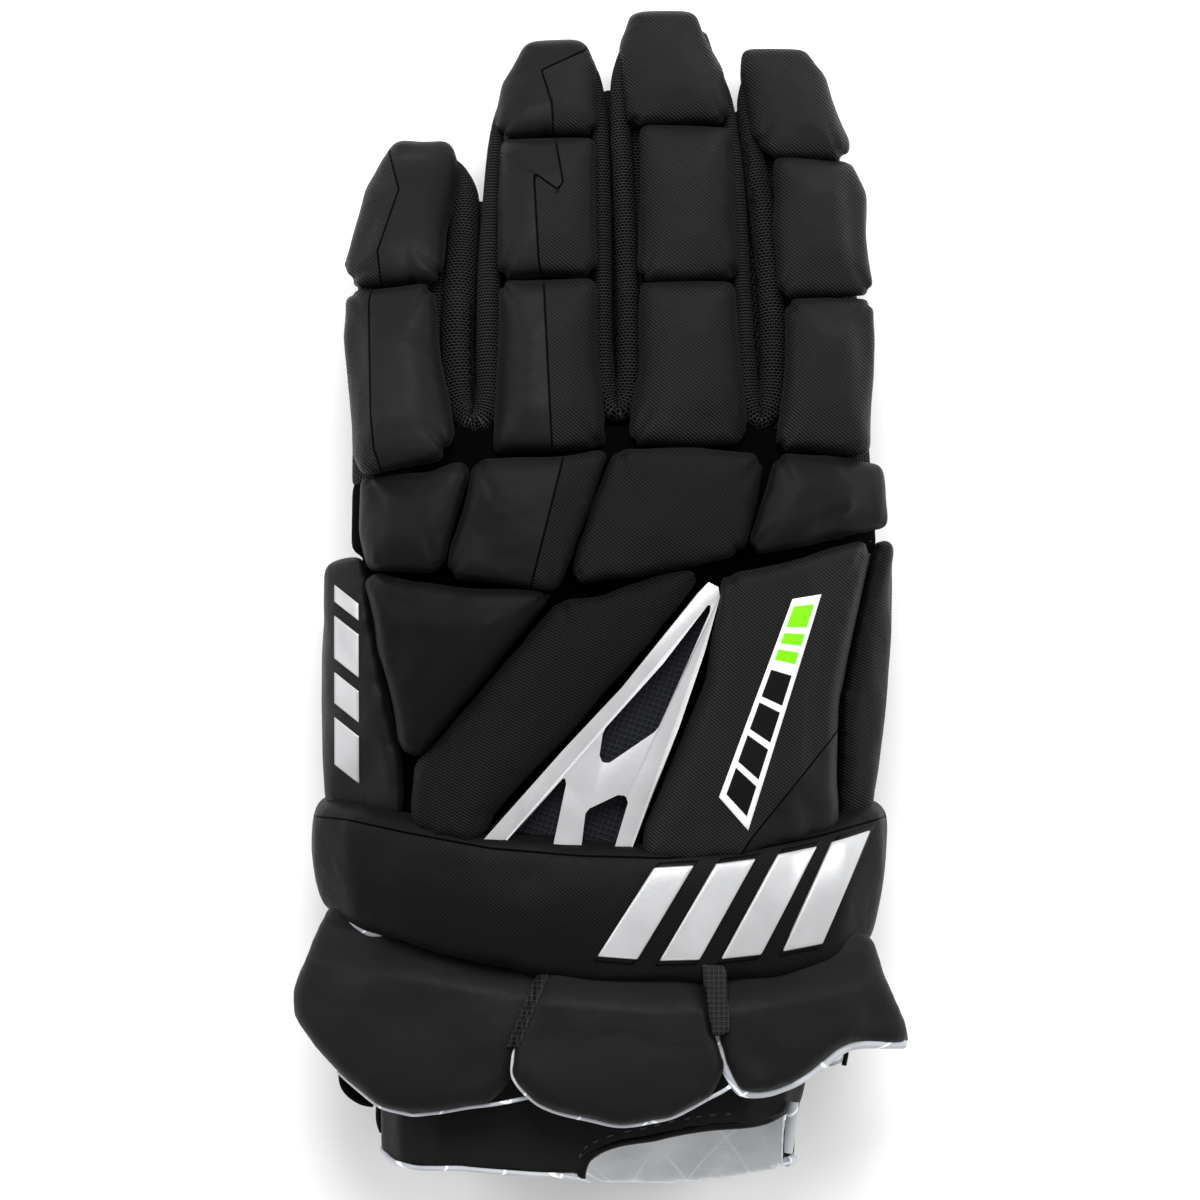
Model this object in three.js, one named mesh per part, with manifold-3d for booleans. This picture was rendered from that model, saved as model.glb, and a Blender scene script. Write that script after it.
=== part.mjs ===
// A padded field glove for the left hand, lying palm down with its fingers along +Y and the back of the hand facing +Z.
// A leather palm and a knit back make the hollow hand, and foam pads, a wrist strap and three flared cuff panels sit on it.
import * as THREE from "three";
import { mergeVertices } from "three/addons/utils/BufferGeometryUtils.js";
import Module from "manifold-3d";

const wasm = await Module();
wasm.setup();

// Driving sizes in millimetres
const GLOVE_LENGTH = 331;
const HAND_WIDTH = 150;
const HAND_HEIGHT = 68;
const FINGER_DEPTH = 26;
const FINGER_REST = 0; // underside of each finger's tip section above the floor
const THUMB_WIDTH = 32;
const SKIN_WALL = 2.2;
const CUFF_WALL = 2.8;
const PAD_THICKNESS = 14;
const FINGER_PAD_THICKNESS = 12.5;
const GUARD_THICKNESS = 8;
const GUARD_DEPTH = 22; // how far a side guard reaches down beside the hand
const STRAP_THICKNESS = 15;
const PANEL_THICKNESS = 8;
const PANEL_FLARE = 9;
const LINING_THICKNESS = 1.8;
const LINING_EDGE = 0.9;
const VENT_BACK_THICKNESS = 5;
const VENT_FRAME_THICKNESS = 6;
const LINER_FACING = 1.2;
const LINER_EDGE = 1.4; // how far the facing stands out of the wrist liner's mouth
const TAB_THICKNESS = 2;
const EMBLEM_THICKNESS = 1.6;
const PALM_PANEL_THICKNESS = 8;
const CLEARANCE = 0.35;
const EDGE_RADIUS = 2.8;
const SQUARENESS = 2.7;
const FINGER_SQUARENESS = 2.5;
const POINT_SPACING = 18; // between the points that are added along a pad's longer edges
const BEYOND = 120; // a place along the grid past every fingertip
const BEFORE = -20; // a place along the grid past the cuff's edge

// The pattern is drawn on a grid. "across" counts hundredths of the hand's width from its middle line,
// and "along" counts hundredths of the glove's length from the cuff's edge.
const gridX = (across) => (across / 100) * HAND_WIDTH;
const gridY = (along) => (along / 100) * GLOVE_LENGTH;

// The hand's cross-sections: its two sides on the grid, and its underside and top as shares of the hand's height.
const HAND_SECTIONS = [
  { along: -4.0, left: -41.5, right: 37.0, under: 0.1, top: 0.96 },
  { along: 0.0, left: -41.0, right: 37.4, under: 0.1, top: 0.97 },
  { along: 10.0, left: -41.5, right: 39.5, under: 0.1, top: 0.98 },
  { along: 20.0, left: -42.5, right: 40.8, under: 0.11, top: 1.0 },
  { along: 30.0, left: -43.0, right: 43.2, under: 0.15, top: 1.02 },
  { along: 40.0, left: -44.5, right: 47.5, under: 0.3, top: 1.03 },
  { along: 50.0, left: -45.0, right: 49.8, under: 0.44, top: 1.02 },
  { along: 57.0, left: -43.5, right: 49.0, under: 0.49, top: 0.97 },
  { along: 64.5, left: -42.5, right: 47.8, under: 0.55, top: 0.9 },
  { along: 66.0, left: -41.0, right: 46.0, under: 0.57, top: 0.87 },
];
const CUFF_JOIN = 11; // where the wrist liner meets the palm and back
const KNUCKLE_JOIN = 60; // where a finger's knit begins
const HAND_END = 64.5;
const SEAM_SHARE = 0.38; // height of the seam between palm and back, as a share of a section's height

// The fingers: centre line on the grid at root and tip, width at root and tip as shares of the hand's width.
const FINGERS = [
  { name: "pinky", root: -35.2, rootWidth: 0.232, tipAcross: -34.3, tipWidth: 0.125, tip: 87.8 },
  { name: "ring", root: -10.2, rootWidth: 0.242, tipAcross: -8.6, tipWidth: 0.13, tip: 96.2 },
  { name: "middle", root: 15.6, rootWidth: 0.256, tipAcross: 13.2, tipWidth: 0.14, tip: 98.8 },
  { name: "index", root: 40.6, rootWidth: 0.226, tipAcross: 34.2, tipWidth: 0.13, tip: 95.6 },
];
const FINGER_ROOT = 54;
const FINGER_STEPS = [0, 0.3, 0.5, 0.66, 0.8, 0.91, 1];

// The thumb's cross-sections: centre on the grid, centre height and radius as shares of the thumb's width.
const THUMB_SECTIONS = [
  { along: 27, across: 30, height: 1.1, radius: 0.3 },
  { along: 34, across: 34, height: 0.82, radius: 0.47 },
  { along: 42, across: 35.5, height: 0.64, radius: 0.5 },
  { along: 50, across: 34, height: 0.59, radius: 0.5 },
  { along: 58, across: 30, height: 0.56, radius: 0.47 },
  { along: 63, across: 27, height: 0.54, radius: 0.4 },
  { along: 65.5, across: 25.8, height: 0.53, radius: 0.24 },
];
const THUMB_JOIN = 40; // where the thumb's sleeve meets the palm

// Smooth value of one column of a table at a place along it.
function column(rows, key, at, value) {
  const last = rows.length - 1;
  let i = 0;
  while (i < last - 1 && rows[i + 1][key] < at) i++;
  const [a, b] = [rows[i], rows[i + 1]];
  const t = THREE.MathUtils.clamp((at - a[key]) / (b[key] - a[key]), 0, 1);
  const slope = (k) => {
    const [p, q] = [rows[Math.max(k - 1, 0)], rows[Math.min(k + 1, last)]];
    return ((q[value] - p[value]) / (q[key] - p[key])) * (b[key] - a[key]);
  };
  const [m0, m1] = [slope(i), slope(i + 1)];
  const [t2, t3] = [t * t, t * t * t];
  return (2 * t3 - 3 * t2 + 1) * a[value] + (t3 - 2 * t2 + t) * m0 + (3 * t2 - 2 * t3) * b[value] + (t3 - t2) * m1;
}

// A cross-section is a rounded box: centre x and z, half width, half height and squareness.
function handSection(along) {
  const [left, right] = ["left", "right"].map((k) => gridX(column(HAND_SECTIONS, "along", along, k)));
  const [under, top] = ["under", "top"].map((k) => column(HAND_SECTIONS, "along", along, k) * HAND_HEIGHT);
  return { x: (left + right) / 2, z: (under + top) / 2, a: (right - left) / 2, b: (top - under) / 2, n: SQUARENESS };
}

function fingerSection(finger, along) {
  const t = (along - FINGER_ROOT) / (finger.tip - FINGER_ROOT);
  const x = gridX(THREE.MathUtils.lerp(finger.root, finger.tipAcross, t));
  const rootTop = column(HAND_SECTIONS, "along", 64, "top") * HAND_HEIGHT;
  const rootZ = rootTop - FINGER_DEPTH / 2;
  const tipZ = FINGER_REST + FINGER_DEPTH / 2;
  const curl = Math.pow(Math.max(t, 0), 1.7);
  const taper = 1 - Math.pow(Math.max(t, 0), 6);
  const half = (HAND_WIDTH / 2) * THREE.MathUtils.lerp(finger.tipWidth, finger.rootWidth, taper);
  const b = (FINGER_DEPTH / 2) * (0.7 + 0.3 * taper);
  return { x, z: THREE.MathUtils.lerp(rootZ, tipZ, curl) - (FINGER_DEPTH / 2 - b), a: half, b, n: FINGER_SQUARENESS };
}

function thumbSection(along) {
  const [across, height, radius] = ["across", "height", "radius"].map((k) => column(THUMB_SECTIONS, "along", along, k));
  const r = radius * THUMB_WIDTH;
  return { x: gridX(across), z: height * THUMB_WIDTH, a: r, b: r, n: 2.2 };
}

// The point on a section at an angle from its top, turned towards +X, lifted off the surface.
function onSection(s, angle, lift) {
  const [sin, cos] = [Math.sin(angle), Math.cos(angle)];
  const bend = (w) => Math.sign(w) * Math.pow(Math.abs(w), 2 / s.n);
  const [dx, dz] = [bend(sin), bend(cos)];
  const normal = new THREE.Vector2(
    (Math.sign(dx) * Math.pow(Math.abs(dx), s.n - 1)) / s.a,
    (Math.sign(dz) * Math.pow(Math.abs(dz), s.n - 1)) / s.b,
  ).normalize();
  return [s.x + s.a * dx + normal.x * lift, s.z + s.b * dz + normal.y * lift];
}

// The angle at which a section's upper half passes a given x.
function angleAt(s, x) {
  const share = THREE.MathUtils.clamp((x - s.x) / s.a, -1, 1);
  return Math.sign(share || 1) * Math.asin(Math.pow(Math.abs(share), s.n / 2));
}

// A closed skin through rings of equally many points, with fan ends.
function loft(rings) {
  const n = rings[0].length;
  const points = rings.flat();
  const faces = [];
  const fan = (ring, turn) => {
    const centre = points.length;
    points.push(rings[ring].reduce((c, p) => c.map((v, k) => v + p[k] / n), [0, 0, 0]));
    for (let i = 0; i < n; i++) {
      const [a, b] = [ring * n + i, ring * n + ((i + 1) % n)];
      faces.push(turn ? [centre, b, a] : [centre, a, b]);
    }
  };
  for (let r = 0; r + 1 < rings.length; r++)
    for (let i = 0; i < n; i++) {
      const [a, b] = [r * n + i, r * n + ((i + 1) % n)];
      faces.push([a, b, b + n], [a, b + n, a + n]);
    }
  fan(0, true);
  fan(rings.length - 1, false);
  return solid(points.flat(), faces.flat());
}

// A closed mesh as a solid, turned outwards if its faces point in.
function solid(numbers, faces) {
  const build = (order) =>
    new wasm.Manifold(new wasm.Mesh({ numProp: 3, vertProperties: new Float32Array(numbers), triVerts: new Uint32Array(order) }));
  const made = build(faces);
  if (made.volume() > 0) return made;
  const turned = [];
  for (let i = 0; i < faces.length; i += 3) turned.push(faces[i], faces[i + 2], faces[i + 1]);
  return build(turned);
}

function solidOf(geometry) {
  const bare = geometry.clone();
  bare.deleteAttribute("normal");
  bare.deleteAttribute("uv");
  const merged = mergeVertices(bare, 1e-3);
  return solid([...merged.attributes.position.array], [...merged.index.array]);
}

// A tube of cross-sections along the glove, grown outwards by "grow".
function tube(sectionAt, stations, sides, grow) {
  return loft(
    stations.map((along) => {
      const s = sectionAt(along);
      return Array.from({ length: sides }, (_, i) => {
        const [x, z] = onSection(s, (i / sides) * Math.PI * 2, grow);
        return [x, gridY(along), z];
      });
    }),
  );
}

// A block across the whole glove between two places along it, under or over a line of heights.
function block(fromAlong, toAlong, heightAt, above, bends = []) {
  const shape = new THREE.Shape();
  const far = above ? HAND_HEIGHT * 3 : -HAND_HEIGHT;
  shape.moveTo(gridY(fromAlong), far);
  for (const along of [fromAlong, ...bends.filter((v) => v > fromAlong && v < toAlong), toAlong])
    shape.lineTo(gridY(along), heightAt(along));
  shape.lineTo(gridY(toAlong), far);
  const geometry = new THREE.ExtrudeGeometry(shape, { depth: HAND_WIDTH * 3, bevelEnabled: false });
  geometry.translate(0, 0, -HAND_WIDTH * 1.5);
  geometry.applyMatrix4(new THREE.Matrix4().set(0, 0, 1, 0, 1, 0, 0, 0, 0, 1, 0, 0, 0, 0, 0, 1));
  return solidOf(geometry);
}

const steps = (from, to, count) => Array.from({ length: count + 1 }, (_, i) => from + ((to - from) * i) / count);
const HAND_STATIONS = [-4, 10, 20, 30, 40, 50, 57, HAND_END];
const HAND_SIDES = 18;
const FINGER_SIDES = 10;
const joinAll = (solids) => solids.reduce((a, b) => a.add(b));

const fingerStations = (finger, short = 0) =>
  FINGER_STEPS.map((t) => THREE.MathUtils.lerp(FINGER_ROOT, finger.tip - (short / GLOVE_LENGTH) * 100, t));
const fingerTube = (finger, grow, short = 0) =>
  tube((along) => fingerSection(finger, along), fingerStations(finger, short), FINGER_SIDES, grow);
const handTube = (grow, from = -4, to = HAND_END) =>
  tube(handSection, [from, ...HAND_STATIONS.filter((v) => v > from && v < to), to], HAND_SIDES, grow);
const thumbTube = (grow, short = 0) =>
  tube(thumbSection, [27, 34, 42, 50, 58, 63, 65.5 - (short / GLOVE_LENGTH) * 100], FINGER_SIDES, grow);

// The hollow that the hand fills, and the whole outside that the pads sit on.
const wallAlong = (SKIN_WALL / GLOVE_LENGTH) * 100;
const handHollow = handTube(-SKIN_WALL, -4, HAND_END - wallAlong);
const hollow = joinAll([
  handHollow,
  ...FINGERS.map((f) => fingerTube(f, -SKIN_WALL, SKIN_WALL)),
  thumbTube(-SKIN_WALL, SKIN_WALL),
]);
const outside = joinAll([handTube(CLEARANCE), ...FINGERS.map((f) => fingerTube(f, CLEARANCE)), thumbTube(CLEARANCE)]);

// Rounds the corners of an outline, or leaves them sharp if the radius is 0, and adds points along its longer edges.
function softOutline(corners, radius, spacing) {
  const at = corners.map(([x, y]) => new THREE.Vector2(x, y));
  const rounded = [];
  at.forEach((p, i) => {
    const [before, after] = [at[(i + at.length - 1) % at.length], at[(i + 1) % at.length]];
    const reach = (other) => p.clone().lerp(other, Math.min(0.45, radius / p.distanceTo(other)));
    const [start, end] = [reach(before), reach(after)];
    const flat = before.clone().sub(p).normalize().dot(after.clone().sub(p).normalize()) < -0.93;
    rounded.push(...(flat || radius === 0 ? [p] : [start, end]));
  });
  const out = [];
  rounded.forEach((p, i) => {
    const next = rounded[(i + 1) % rounded.length];
    const count = Math.max(1, Math.round(p.distanceTo(next) / spacing));
    for (let k = 0; k < count; k++) out.push(p.clone().lerp(next, k / count));
  });
  return out;
}

// Moves every point of an outline inwards by a distance, or outwards if it is negative.
function inset(outline, distance) {
  const area = THREE.ShapeUtils.area(outline);
  const turn = area > 0 ? 1 : -1;
  return outline.map((p, i) => {
    const [before, after] = [outline[(i + outline.length - 1) % outline.length], outline[(i + 1) % outline.length]];
    const normal = (a, b) => new THREE.Vector2(a.y - b.y, b.x - a.x).normalize();
    const [n0, n1] = [normal(before, p), normal(p, after)];
    const mean = n0.clone().add(n1).normalize();
    const stretch = Math.min(1.5, 1 / Math.max(0.5, mean.dot(n0)));
    return p.clone().addScaledVector(mean, turn * distance * stretch);
  });
}

const shrink = (outline, share) => {
  const c = outline.reduce((s, p) => s.addScaledVector(p, 1 / outline.length), new THREE.Vector2());
  return outline.map((p) => c.clone().lerp(p, share));
};

// The profile of a pad's edge: how far in and how high each ring lies, as shares of the edge's radius and the height.
const PAD_PROFILE = [
  { inward: 0, height: 0.5 },
  { inward: 0.12, height: 0.8 },
  { inward: 0.42, height: 0.94 },
  { inward: 1, height: 1 },
];
const FOOT_SHARE = 0.35; // how far in the foot of a pad's edge lies, as a share of the edge's radius
const CAP_SHARES = [0.5];

// A foam pad: an outline in x and y laid on a surface, sunk below it by "sink" so that a cut seats it there.
function pad(outline, place, { height, sink = 4, edge = EDGE_RADIUS, crown = 0.8, grow = 0, caps = CAP_SHARES }) {
  const rings = [shrink(outline, 0.5), inset(outline, edge * FOOT_SHARE - grow)].map((r) => r.map((p) => place(p, -sink)));
  for (const { inward, height: share } of PAD_PROFILE)
    rings.push(inset(outline, edge * inward - grow).map((p) => place(p, height * share + grow)));
  const top = inset(outline, edge - grow);
  caps.forEach((share, i) => {
    rings.push(shrink(top, share).map((p) => place(p, height + grow + (crown * (i + 1)) / caps.length)));
  });
  return loft(rings);
}

// Surfaces that a pad can lie on. Each takes a point of the outline and a lift, and gives a point of the part.
const BACK_REACH = 0.9; // share of the hand's half width over which a pad follows its top
const SIDE_SLOPE = 1.1; // how steeply a pad hangs down beyond that
const onBack = (p, lift) => {
  const s = handSection((p.y / GLOVE_LENGTH) * 100);
  const [out, reach] = [Math.abs(p.x - s.x), s.a * BACK_REACH];
  const fall = Math.pow(1 - Math.pow(Math.min(out, reach) / s.a, s.n), 1 / s.n);
  return [p.x, p.y, s.z + s.b * fall - Math.max(0, out - reach) * SIDE_SLOPE + lift];
};
const onFinger = (finger) => (p, lift) => {
  const along = (p.y / GLOVE_LENGTH) * 100;
  const s = fingerSection(finger, Math.min(along, finger.tip));
  const share = THREE.MathUtils.clamp((p.x - s.x) / (HAND_WIDTH * finger.rootWidth * 0.5), -0.95, 0.95);
  const fall = Math.pow(1 - Math.pow(Math.abs(share), s.n), 1 / s.n);
  return [p.x, p.y, s.z + s.b * fall + lift];
};
const FLARE_FROM = 22;
const onFlare = (p, lift) => {
  const along = (p.y / GLOVE_LENGTH) * 100;
  const s = handSection(Math.max(along, 8));
  const out = THREE.MathUtils.clamp((FLARE_FROM - along) / FLARE_FROM, -0.1, 1);
  const half = HAND_WIDTH * 0.68;
  const share = THREE.MathUtils.clamp(Math.abs(p.x - s.x) / half, 0, 0.98);
  const fall = Math.pow(1 - Math.pow(share, 2.3), 1 / 2.3);
  return [p.x, p.y, s.z + s.b - half * 0.62 * (1 - fall) + PANEL_FLARE * Math.pow(Math.max(out, 0), 1.2) + lift];
};

const nodes = new Map();
const corners = (table) => table.map(([across, along]) => [gridX(across), gridY(along)]);

// Foam pads on the fingers. Each row of corners is [across, along].
const FINGER_PADS = {
  pinky: {
    tip: [[-38.5, 89.1], [-28.2, 88.9], [-26.3, 86.1], [-29.1, 81], [-30.2, 77.2], [-45.5, 76.6], [-47.2, 78.5], [-43.7, 85.1]],
    base: [[-46.9, 76.0], [-31.4, 76.5], [-30.6, 71.5], [-27.6, 63.8], [-29.9, 61.9], [-43.7, 60.6], [-45.5, 62.2], [-48, 72.3]],
  },
  ring: {
    tip: [[-13.6, 97.3], [-3.4, 97.5], [-1.1, 95.1], [-0.9, 89.8], [-18.3, 89.4], [-19.2, 90.9], [-18, 93.7]],
    mid: [[-18.4, 88.9], [-1, 89.0], [-0.9, 84], [-1, 77.6], [-18.4, 77.3], [-19, 83]],
    base: [[-18.4, 76.8], [-1, 76.9], [-0.3, 70], [0.8, 62.9], [-19.6, 62.4], [-19, 70]],
  },
  middle: {
    tip: [[6.3, 99.9], [17.5, 99.9], [22.8, 94.8], [23.9, 90.7], [6, 90.5], [5.2, 92.6], [4.1, 97.1]],
    mid: [[7.8, 90.0], [24.6, 89.9], [25.2, 84], [25.6, 77.4], [7.6, 77], [7.7, 84]],
    base: [[8.3, 76.5], [24.9, 76.6], [26.4, 70], [27.4, 63.1], [5.6, 63.1], [7.6, 69]],
  },
  index: {
    tip: [[27.4, 96.7], [38.5, 96.7], [42.2, 94.6], [46.7, 88.6], [45.4, 87.6], [33.2, 87.8], [29.5, 89.1], [26.9, 94.3]],
    mid: [[33, 87.3], [46.6, 87.1], [49.5, 84.4], [49.7, 81.2], [50.8, 76], [34, 75.8], [32.7, 81.2]],
    base: [[34.9, 75.1], [50.6, 75.2], [51.3, 72], [49.8, 62.4], [33.2, 62.7], [34.6, 69.4]],
  },
};

// Pads over the knuckles and the back of the hand, in the same form.
const HAND_PADS = {
  knuckle_pad_pinky: [[-44.2, 60.1], [-32.1, 60.5], [-25.6, 61.4], [-24.6, 60.6], [-29.8, 52.5], [-42.6, 52.6], [-44.4, 55.8]],
  knuckle_pad_ring: [[-22.8, 61.6], [-7.5, 61.9], [1, 62.4], [-5.3, 53.6], [-8.4, 50.9], [-28, 51.9], [-26.8, 55]],
  knuckle_pad_middle: [[3.3, 62.5], [18.7, 62.4], [30.2, 62], [26.4, 54.3], [23.1, 53.5], [7.5, 52.2], [-4.8, 51.4], [-3.6, 54.3]],
  knuckle_pad_index: [[33, 62], [43, 61.8], [52.2, 61.2], [53.2, 56.2], [37.3, 54.6], [27.8, 53.9], [29.8, 57.6]],
  back_pad_outer: [[-43.9, 52.2], [-34.7, 51.4], [-21.7, 50.6], [-9.6, 50.3], [-21, 43.5], [-33.4, 37], [-36.4, 37.4]],
  back_pad_diagonal: [[-7.3, 49.6], [0, 50], [12.3, 51.8], [18.9, 52.2], [10, 47.2], [-6, 38.8], [-23.6, 30.2], [-35.1, 30], [-34, 35.9]],
  back_pad_wrist: [[23, 51.9], [37.3, 53.1], [50.5, 54.9], [47.4, 48.3], [44.2, 41.5], [43.8, 30], [37.3, 29.2], [7, 28.4], [13.5, 35.8], [19.8, 43]],
};

// Firm side guards. They hang down over the hand's sides, past its widest line.
const SIDE_GUARDS = {
  side_guard_outer: [[-51.4, 52.6], [-45.6, 52.7], [-40.8, 44], [-37.4, 36.4], [-37.2, 30.5], [-50.6, 30.5], [-51.3, 42]],
  side_gusset_thumb: [[51.6, 54.6], [48.6, 48.3], [45.3, 41.5], [44.9, 30.5], [50, 30.5], [52.6, 42], [54.6, 54.8]],
};

function cutBy(body, ...tools) {
  return tools.reduce((a, b) => a.subtract(b), body);
}

// The largest body of a solid, without the slivers that a cut can leave.
function mainBody(made) {
  return made.decompose().reduce((a, b) => (a.volume() > b.volume() ? a : b));
}

const beyond = (along) => block(along, BEYOND, () => -HAND_HEIGHT, true);

// The scoop in the wrist liner's upper edge, through which its facing shows. Rows are [across, along].
const SCOOP = [[-1.9, -3], [-0.9, 1.3], [4.7, 3.4], [18.7, 4.4], [29.9, 5.5], [37.3, 6.9], [44, 7.6], [44, -3]];

function scoop(margin) {
  const outline = inset(corners(SCOOP).map(([x, y]) => new THREE.Vector2(x, y)), -margin);
  const geometry = new THREE.ExtrudeGeometry(new THREE.Shape(outline), { depth: HAND_HEIGHT * 2, bevelEnabled: false });
  geometry.translate(0, 0, handSection(0).z);
  return solidOf(geometry);
}

// The curve of the wrist liner's mouth, seen from above. What lies before it is cut off. Rows are [across, along].
const MOUTH = [[-60, 4.4], [-41.3, 3.2], [-39, 1.9], [-34, 1.1], [-22, 0.5], [-8, 0], [14, 0], [24, 0.5], [32, 1.3], [36, 2.4], [60, 4.6]];

function beforeMouth(margin) {
  const shape = new THREE.Shape(corners([[-60, BEFORE], [60, BEFORE], ...[...MOUTH].reverse()]).map(([x, y]) => new THREE.Vector2(x, y)));
  const geometry = new THREE.ExtrudeGeometry(shape, { depth: HAND_HEIGHT * 3, bevelEnabled: false });
  geometry.translate(0, -margin, -HAND_HEIGHT);
  return solidOf(geometry);
}

function makeWristLiner(end) {
  const inner = -CUFF_WALL - CLEARANCE;
  const edge = (LINER_EDGE / GLOVE_LENGTH) * 100;
  const outer = handTube(0, 0, end).subtract(handTube(-CUFF_WALL, -2, end + 2));
  nodes.set("wrist_liner", mainBody(cutBy(outer, scoop(0), beforeMouth(0))));
  const facing = handTube(inner, -edge, end).subtract(handTube(inner - LINER_FACING, HAND_STATIONS[0], end + 2));
  nodes.set("wrist_facing", mainBody(cutBy(facing, scoop(-2 * LINER_EDGE), beforeMouth(LINER_EDGE))));
}

function makeHand() {
  const seam = (sectionAt) => (along) => {
    const s = sectionAt(along);
    return s.z - s.b + 2 * s.b * SEAM_SHARE;
  };
  const gap = (CLEARANCE / GLOVE_LENGTH) * 100;
  const handLine = seam(handSection);
  const lower = (line) => (along) => line(along) - CLEARANCE;
  const handSkin = handTube(0, CUFF_JOIN);
  const handUnder = handSkin.intersect(block(CUFF_JOIN, HAND_END + 1, lower(handLine), false, HAND_STATIONS));
  const handOver = handSkin.intersect(block(CUFF_JOIN, HAND_END + 1, handLine, true, HAND_STATIONS));
  const rootsOver = FINGERS.map((f) => fingerTube(f, 0).intersect(block(FINGER_ROOT - 1, KNUCKLE_JOIN - gap, handLine, true)));
  const rootsUnder = FINGERS.map((f) => fingerTube(f, 0).intersect(block(FINGER_ROOT - 1, KNUCKLE_JOIN - gap, lower(handLine), false)));
  const grownFingers = FINGERS.map((f) => fingerTube(f, CLEARANCE));
  FINGERS.forEach((finger, i) => {
    const line = seam((along) => fingerSection(finger, along));
    const half = (height, above) =>
      fingerTube(finger, 0).intersect(block(KNUCKLE_JOIN, finger.tip + 1, height, above, fingerStations(finger)));
    const clear = [hollow, ...grownFingers.filter((_, k) => k !== i)];
    nodes.set("knit_" + finger.name, mainBody(cutBy(half(line, true), ...clear)));
    nodes.set("finger_leather_" + finger.name, mainBody(cutBy(half(lower(line), false), ...clear)));
  });
  const thumbSkin = thumbTube(0).intersect(beyond(THUMB_JOIN));
  const thumbRoot = thumbTube(0).subtract(beyond(THUMB_JOIN - gap));
  const fingersBeyond = grownFingers.map((grown) => grown.intersect(beyond(KNUCKLE_JOIN - gap)));
  const overHand = block(CUFF_JOIN - 1, HAND_END + 1, lower(handLine), true, HAND_STATIONS);
  nodes.set("palm_leather", mainBody(cutBy(joinAll([handUnder, ...rootsUnder, thumbRoot]), hollow, overHand, ...fingersBeyond)));
  nodes.set("back_liner", mainBody(cutBy(joinAll([handOver, ...rootsOver]), hollow, ...fingersBeyond)));
  nodes.set("thumb_sleeve", mainBody(cutBy(thumbSkin, hollow, handTube(CLEARANCE))));
  makeWristLiner(CUFF_JOIN - gap);
}

function makeFingerPads() {
  for (const finger of FINGERS)
    for (const [place, table] of Object.entries(FINGER_PADS[finger.name])) {
      const outline = softOutline(corners(table), 0, POINT_SPACING);
      const made = pad(outline, onFinger(finger), { height: FINGER_PAD_THICKNESS, sink: 5 });
      nodes.set(`finger_pad_${finger.name}_${place}`, mainBody(made.subtract(outside)));
    }
}

// The wrist strap's course: each row gives its place across, and its lower and upper edges along the glove.
const STRAP_COURSE = [
  { angle: -112, low: 26.0, high: 33.4 },
  { angle: -94, low: 25.0, high: 33.5 },
  { angle: -78, low: 23.4, high: 33.2 },
  { angle: -60, low: 22.1, high: 32.6 },
  { angle: -42, low: 20.8, high: 31.9 },
  { angle: -20, low: 19.2, high: 30.6 },
  { angle: 0, low: 18.0, high: 29.6 },
  { angle: 20, low: 17.6, high: 29.5 },
  { angle: 42, low: 18.1, high: 30.4 },
  { angle: 60, low: 19.0, high: 31.3 },
  { angle: 78, low: 20.1, high: 32.4 },
  { angle: 94, low: 21.4, high: 33 },
  { angle: 112, low: 23.0, high: 32.8 },
];
// The strap's profile: place across its width from 0 to 1, and its height as a share of its thickness.
const STRAP_PROFILE = [
  { across: 0.02, height: -0.2 },
  { across: 0, height: 0.62 },
  { across: 0.03, height: 0.86 },
  { across: 0.12, height: 1 },
  { across: 0.5, height: 1.08 },
  { across: 0.88, height: 1 },
  { across: 0.97, height: 0.86 },
  { across: 1, height: 0.62 },
  { across: 0.98, height: -0.2 },
];

function strapPoint(row, across, lift) {
  const along = THREE.MathUtils.lerp(row.low, row.high, across);
  const [x, z] = onSection(handSection(along), THREE.MathUtils.degToRad(row.angle), lift);
  return [x, gridY(along), z];
}

function strapSolid(grow) {
  const wide = (across) => (across - 0.5) * (1 + (2 * grow) / gridY(10.8)) + 0.5;
  return loft(
    STRAP_COURSE.map((row) =>
      STRAP_PROFILE.map(({ across, height }) => strapPoint(row, wide(across), height * STRAP_THICKNESS + (height > 0 ? grow : 0))),
    ),
  );
}

const strapClear = strapSolid(CLEARANCE);

const handPad = (table, options) => pad(softOutline(corners(table), 0, POINT_SPACING), onBack, options);

function makeBackPads() {
  for (const [name, table] of Object.entries(HAND_PADS))
    nodes.set(name, mainBody(cutBy(handPad(table, { height: PAD_THICKNESS }), outside, strapClear)));
  for (const [name, table] of Object.entries(SIDE_GUARDS))
    nodes.set(name, mainBody(cutBy(handPad(table, { height: GUARD_THICKNESS, sink: GUARD_DEPTH, crown: 0.2 }), outside, strapClear)));
}

// The vent: a mesh backing, and over it a moulded frame with three windows. Rows are [across, along].
const VENT_OUTLINE = [
  [20.1, 51.4], [21.9, 51], [22.2, 50.2], [19.4, 45.6], [14.6, 39.2], [10.4, 34.6], [2.4, 26], [-29, 27.2], [-20.8, 30.9], [-6.9, 37.3],
  [4.1, 42.6], [18.1, 50.5],
];
const VENT_WINDOWS = [
  [[20.3, 49.7], [20.6, 49.2], [16.2, 44.6], [10.6, 39], [1.2, 36.1], [-0.2, 36.6], [0.6, 39], [11.7, 44.6]],
  [[-6.9, 35.1], [-6.1, 34.8], [-10, 27.6], [-23, 27.8]],
  [[-2.6, 32.3], [3.9, 33.7], [5.4, 33.2], [0.4, 27], [-4.5, 27]],
];

const WINDOW_RADIUS = 1;

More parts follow.
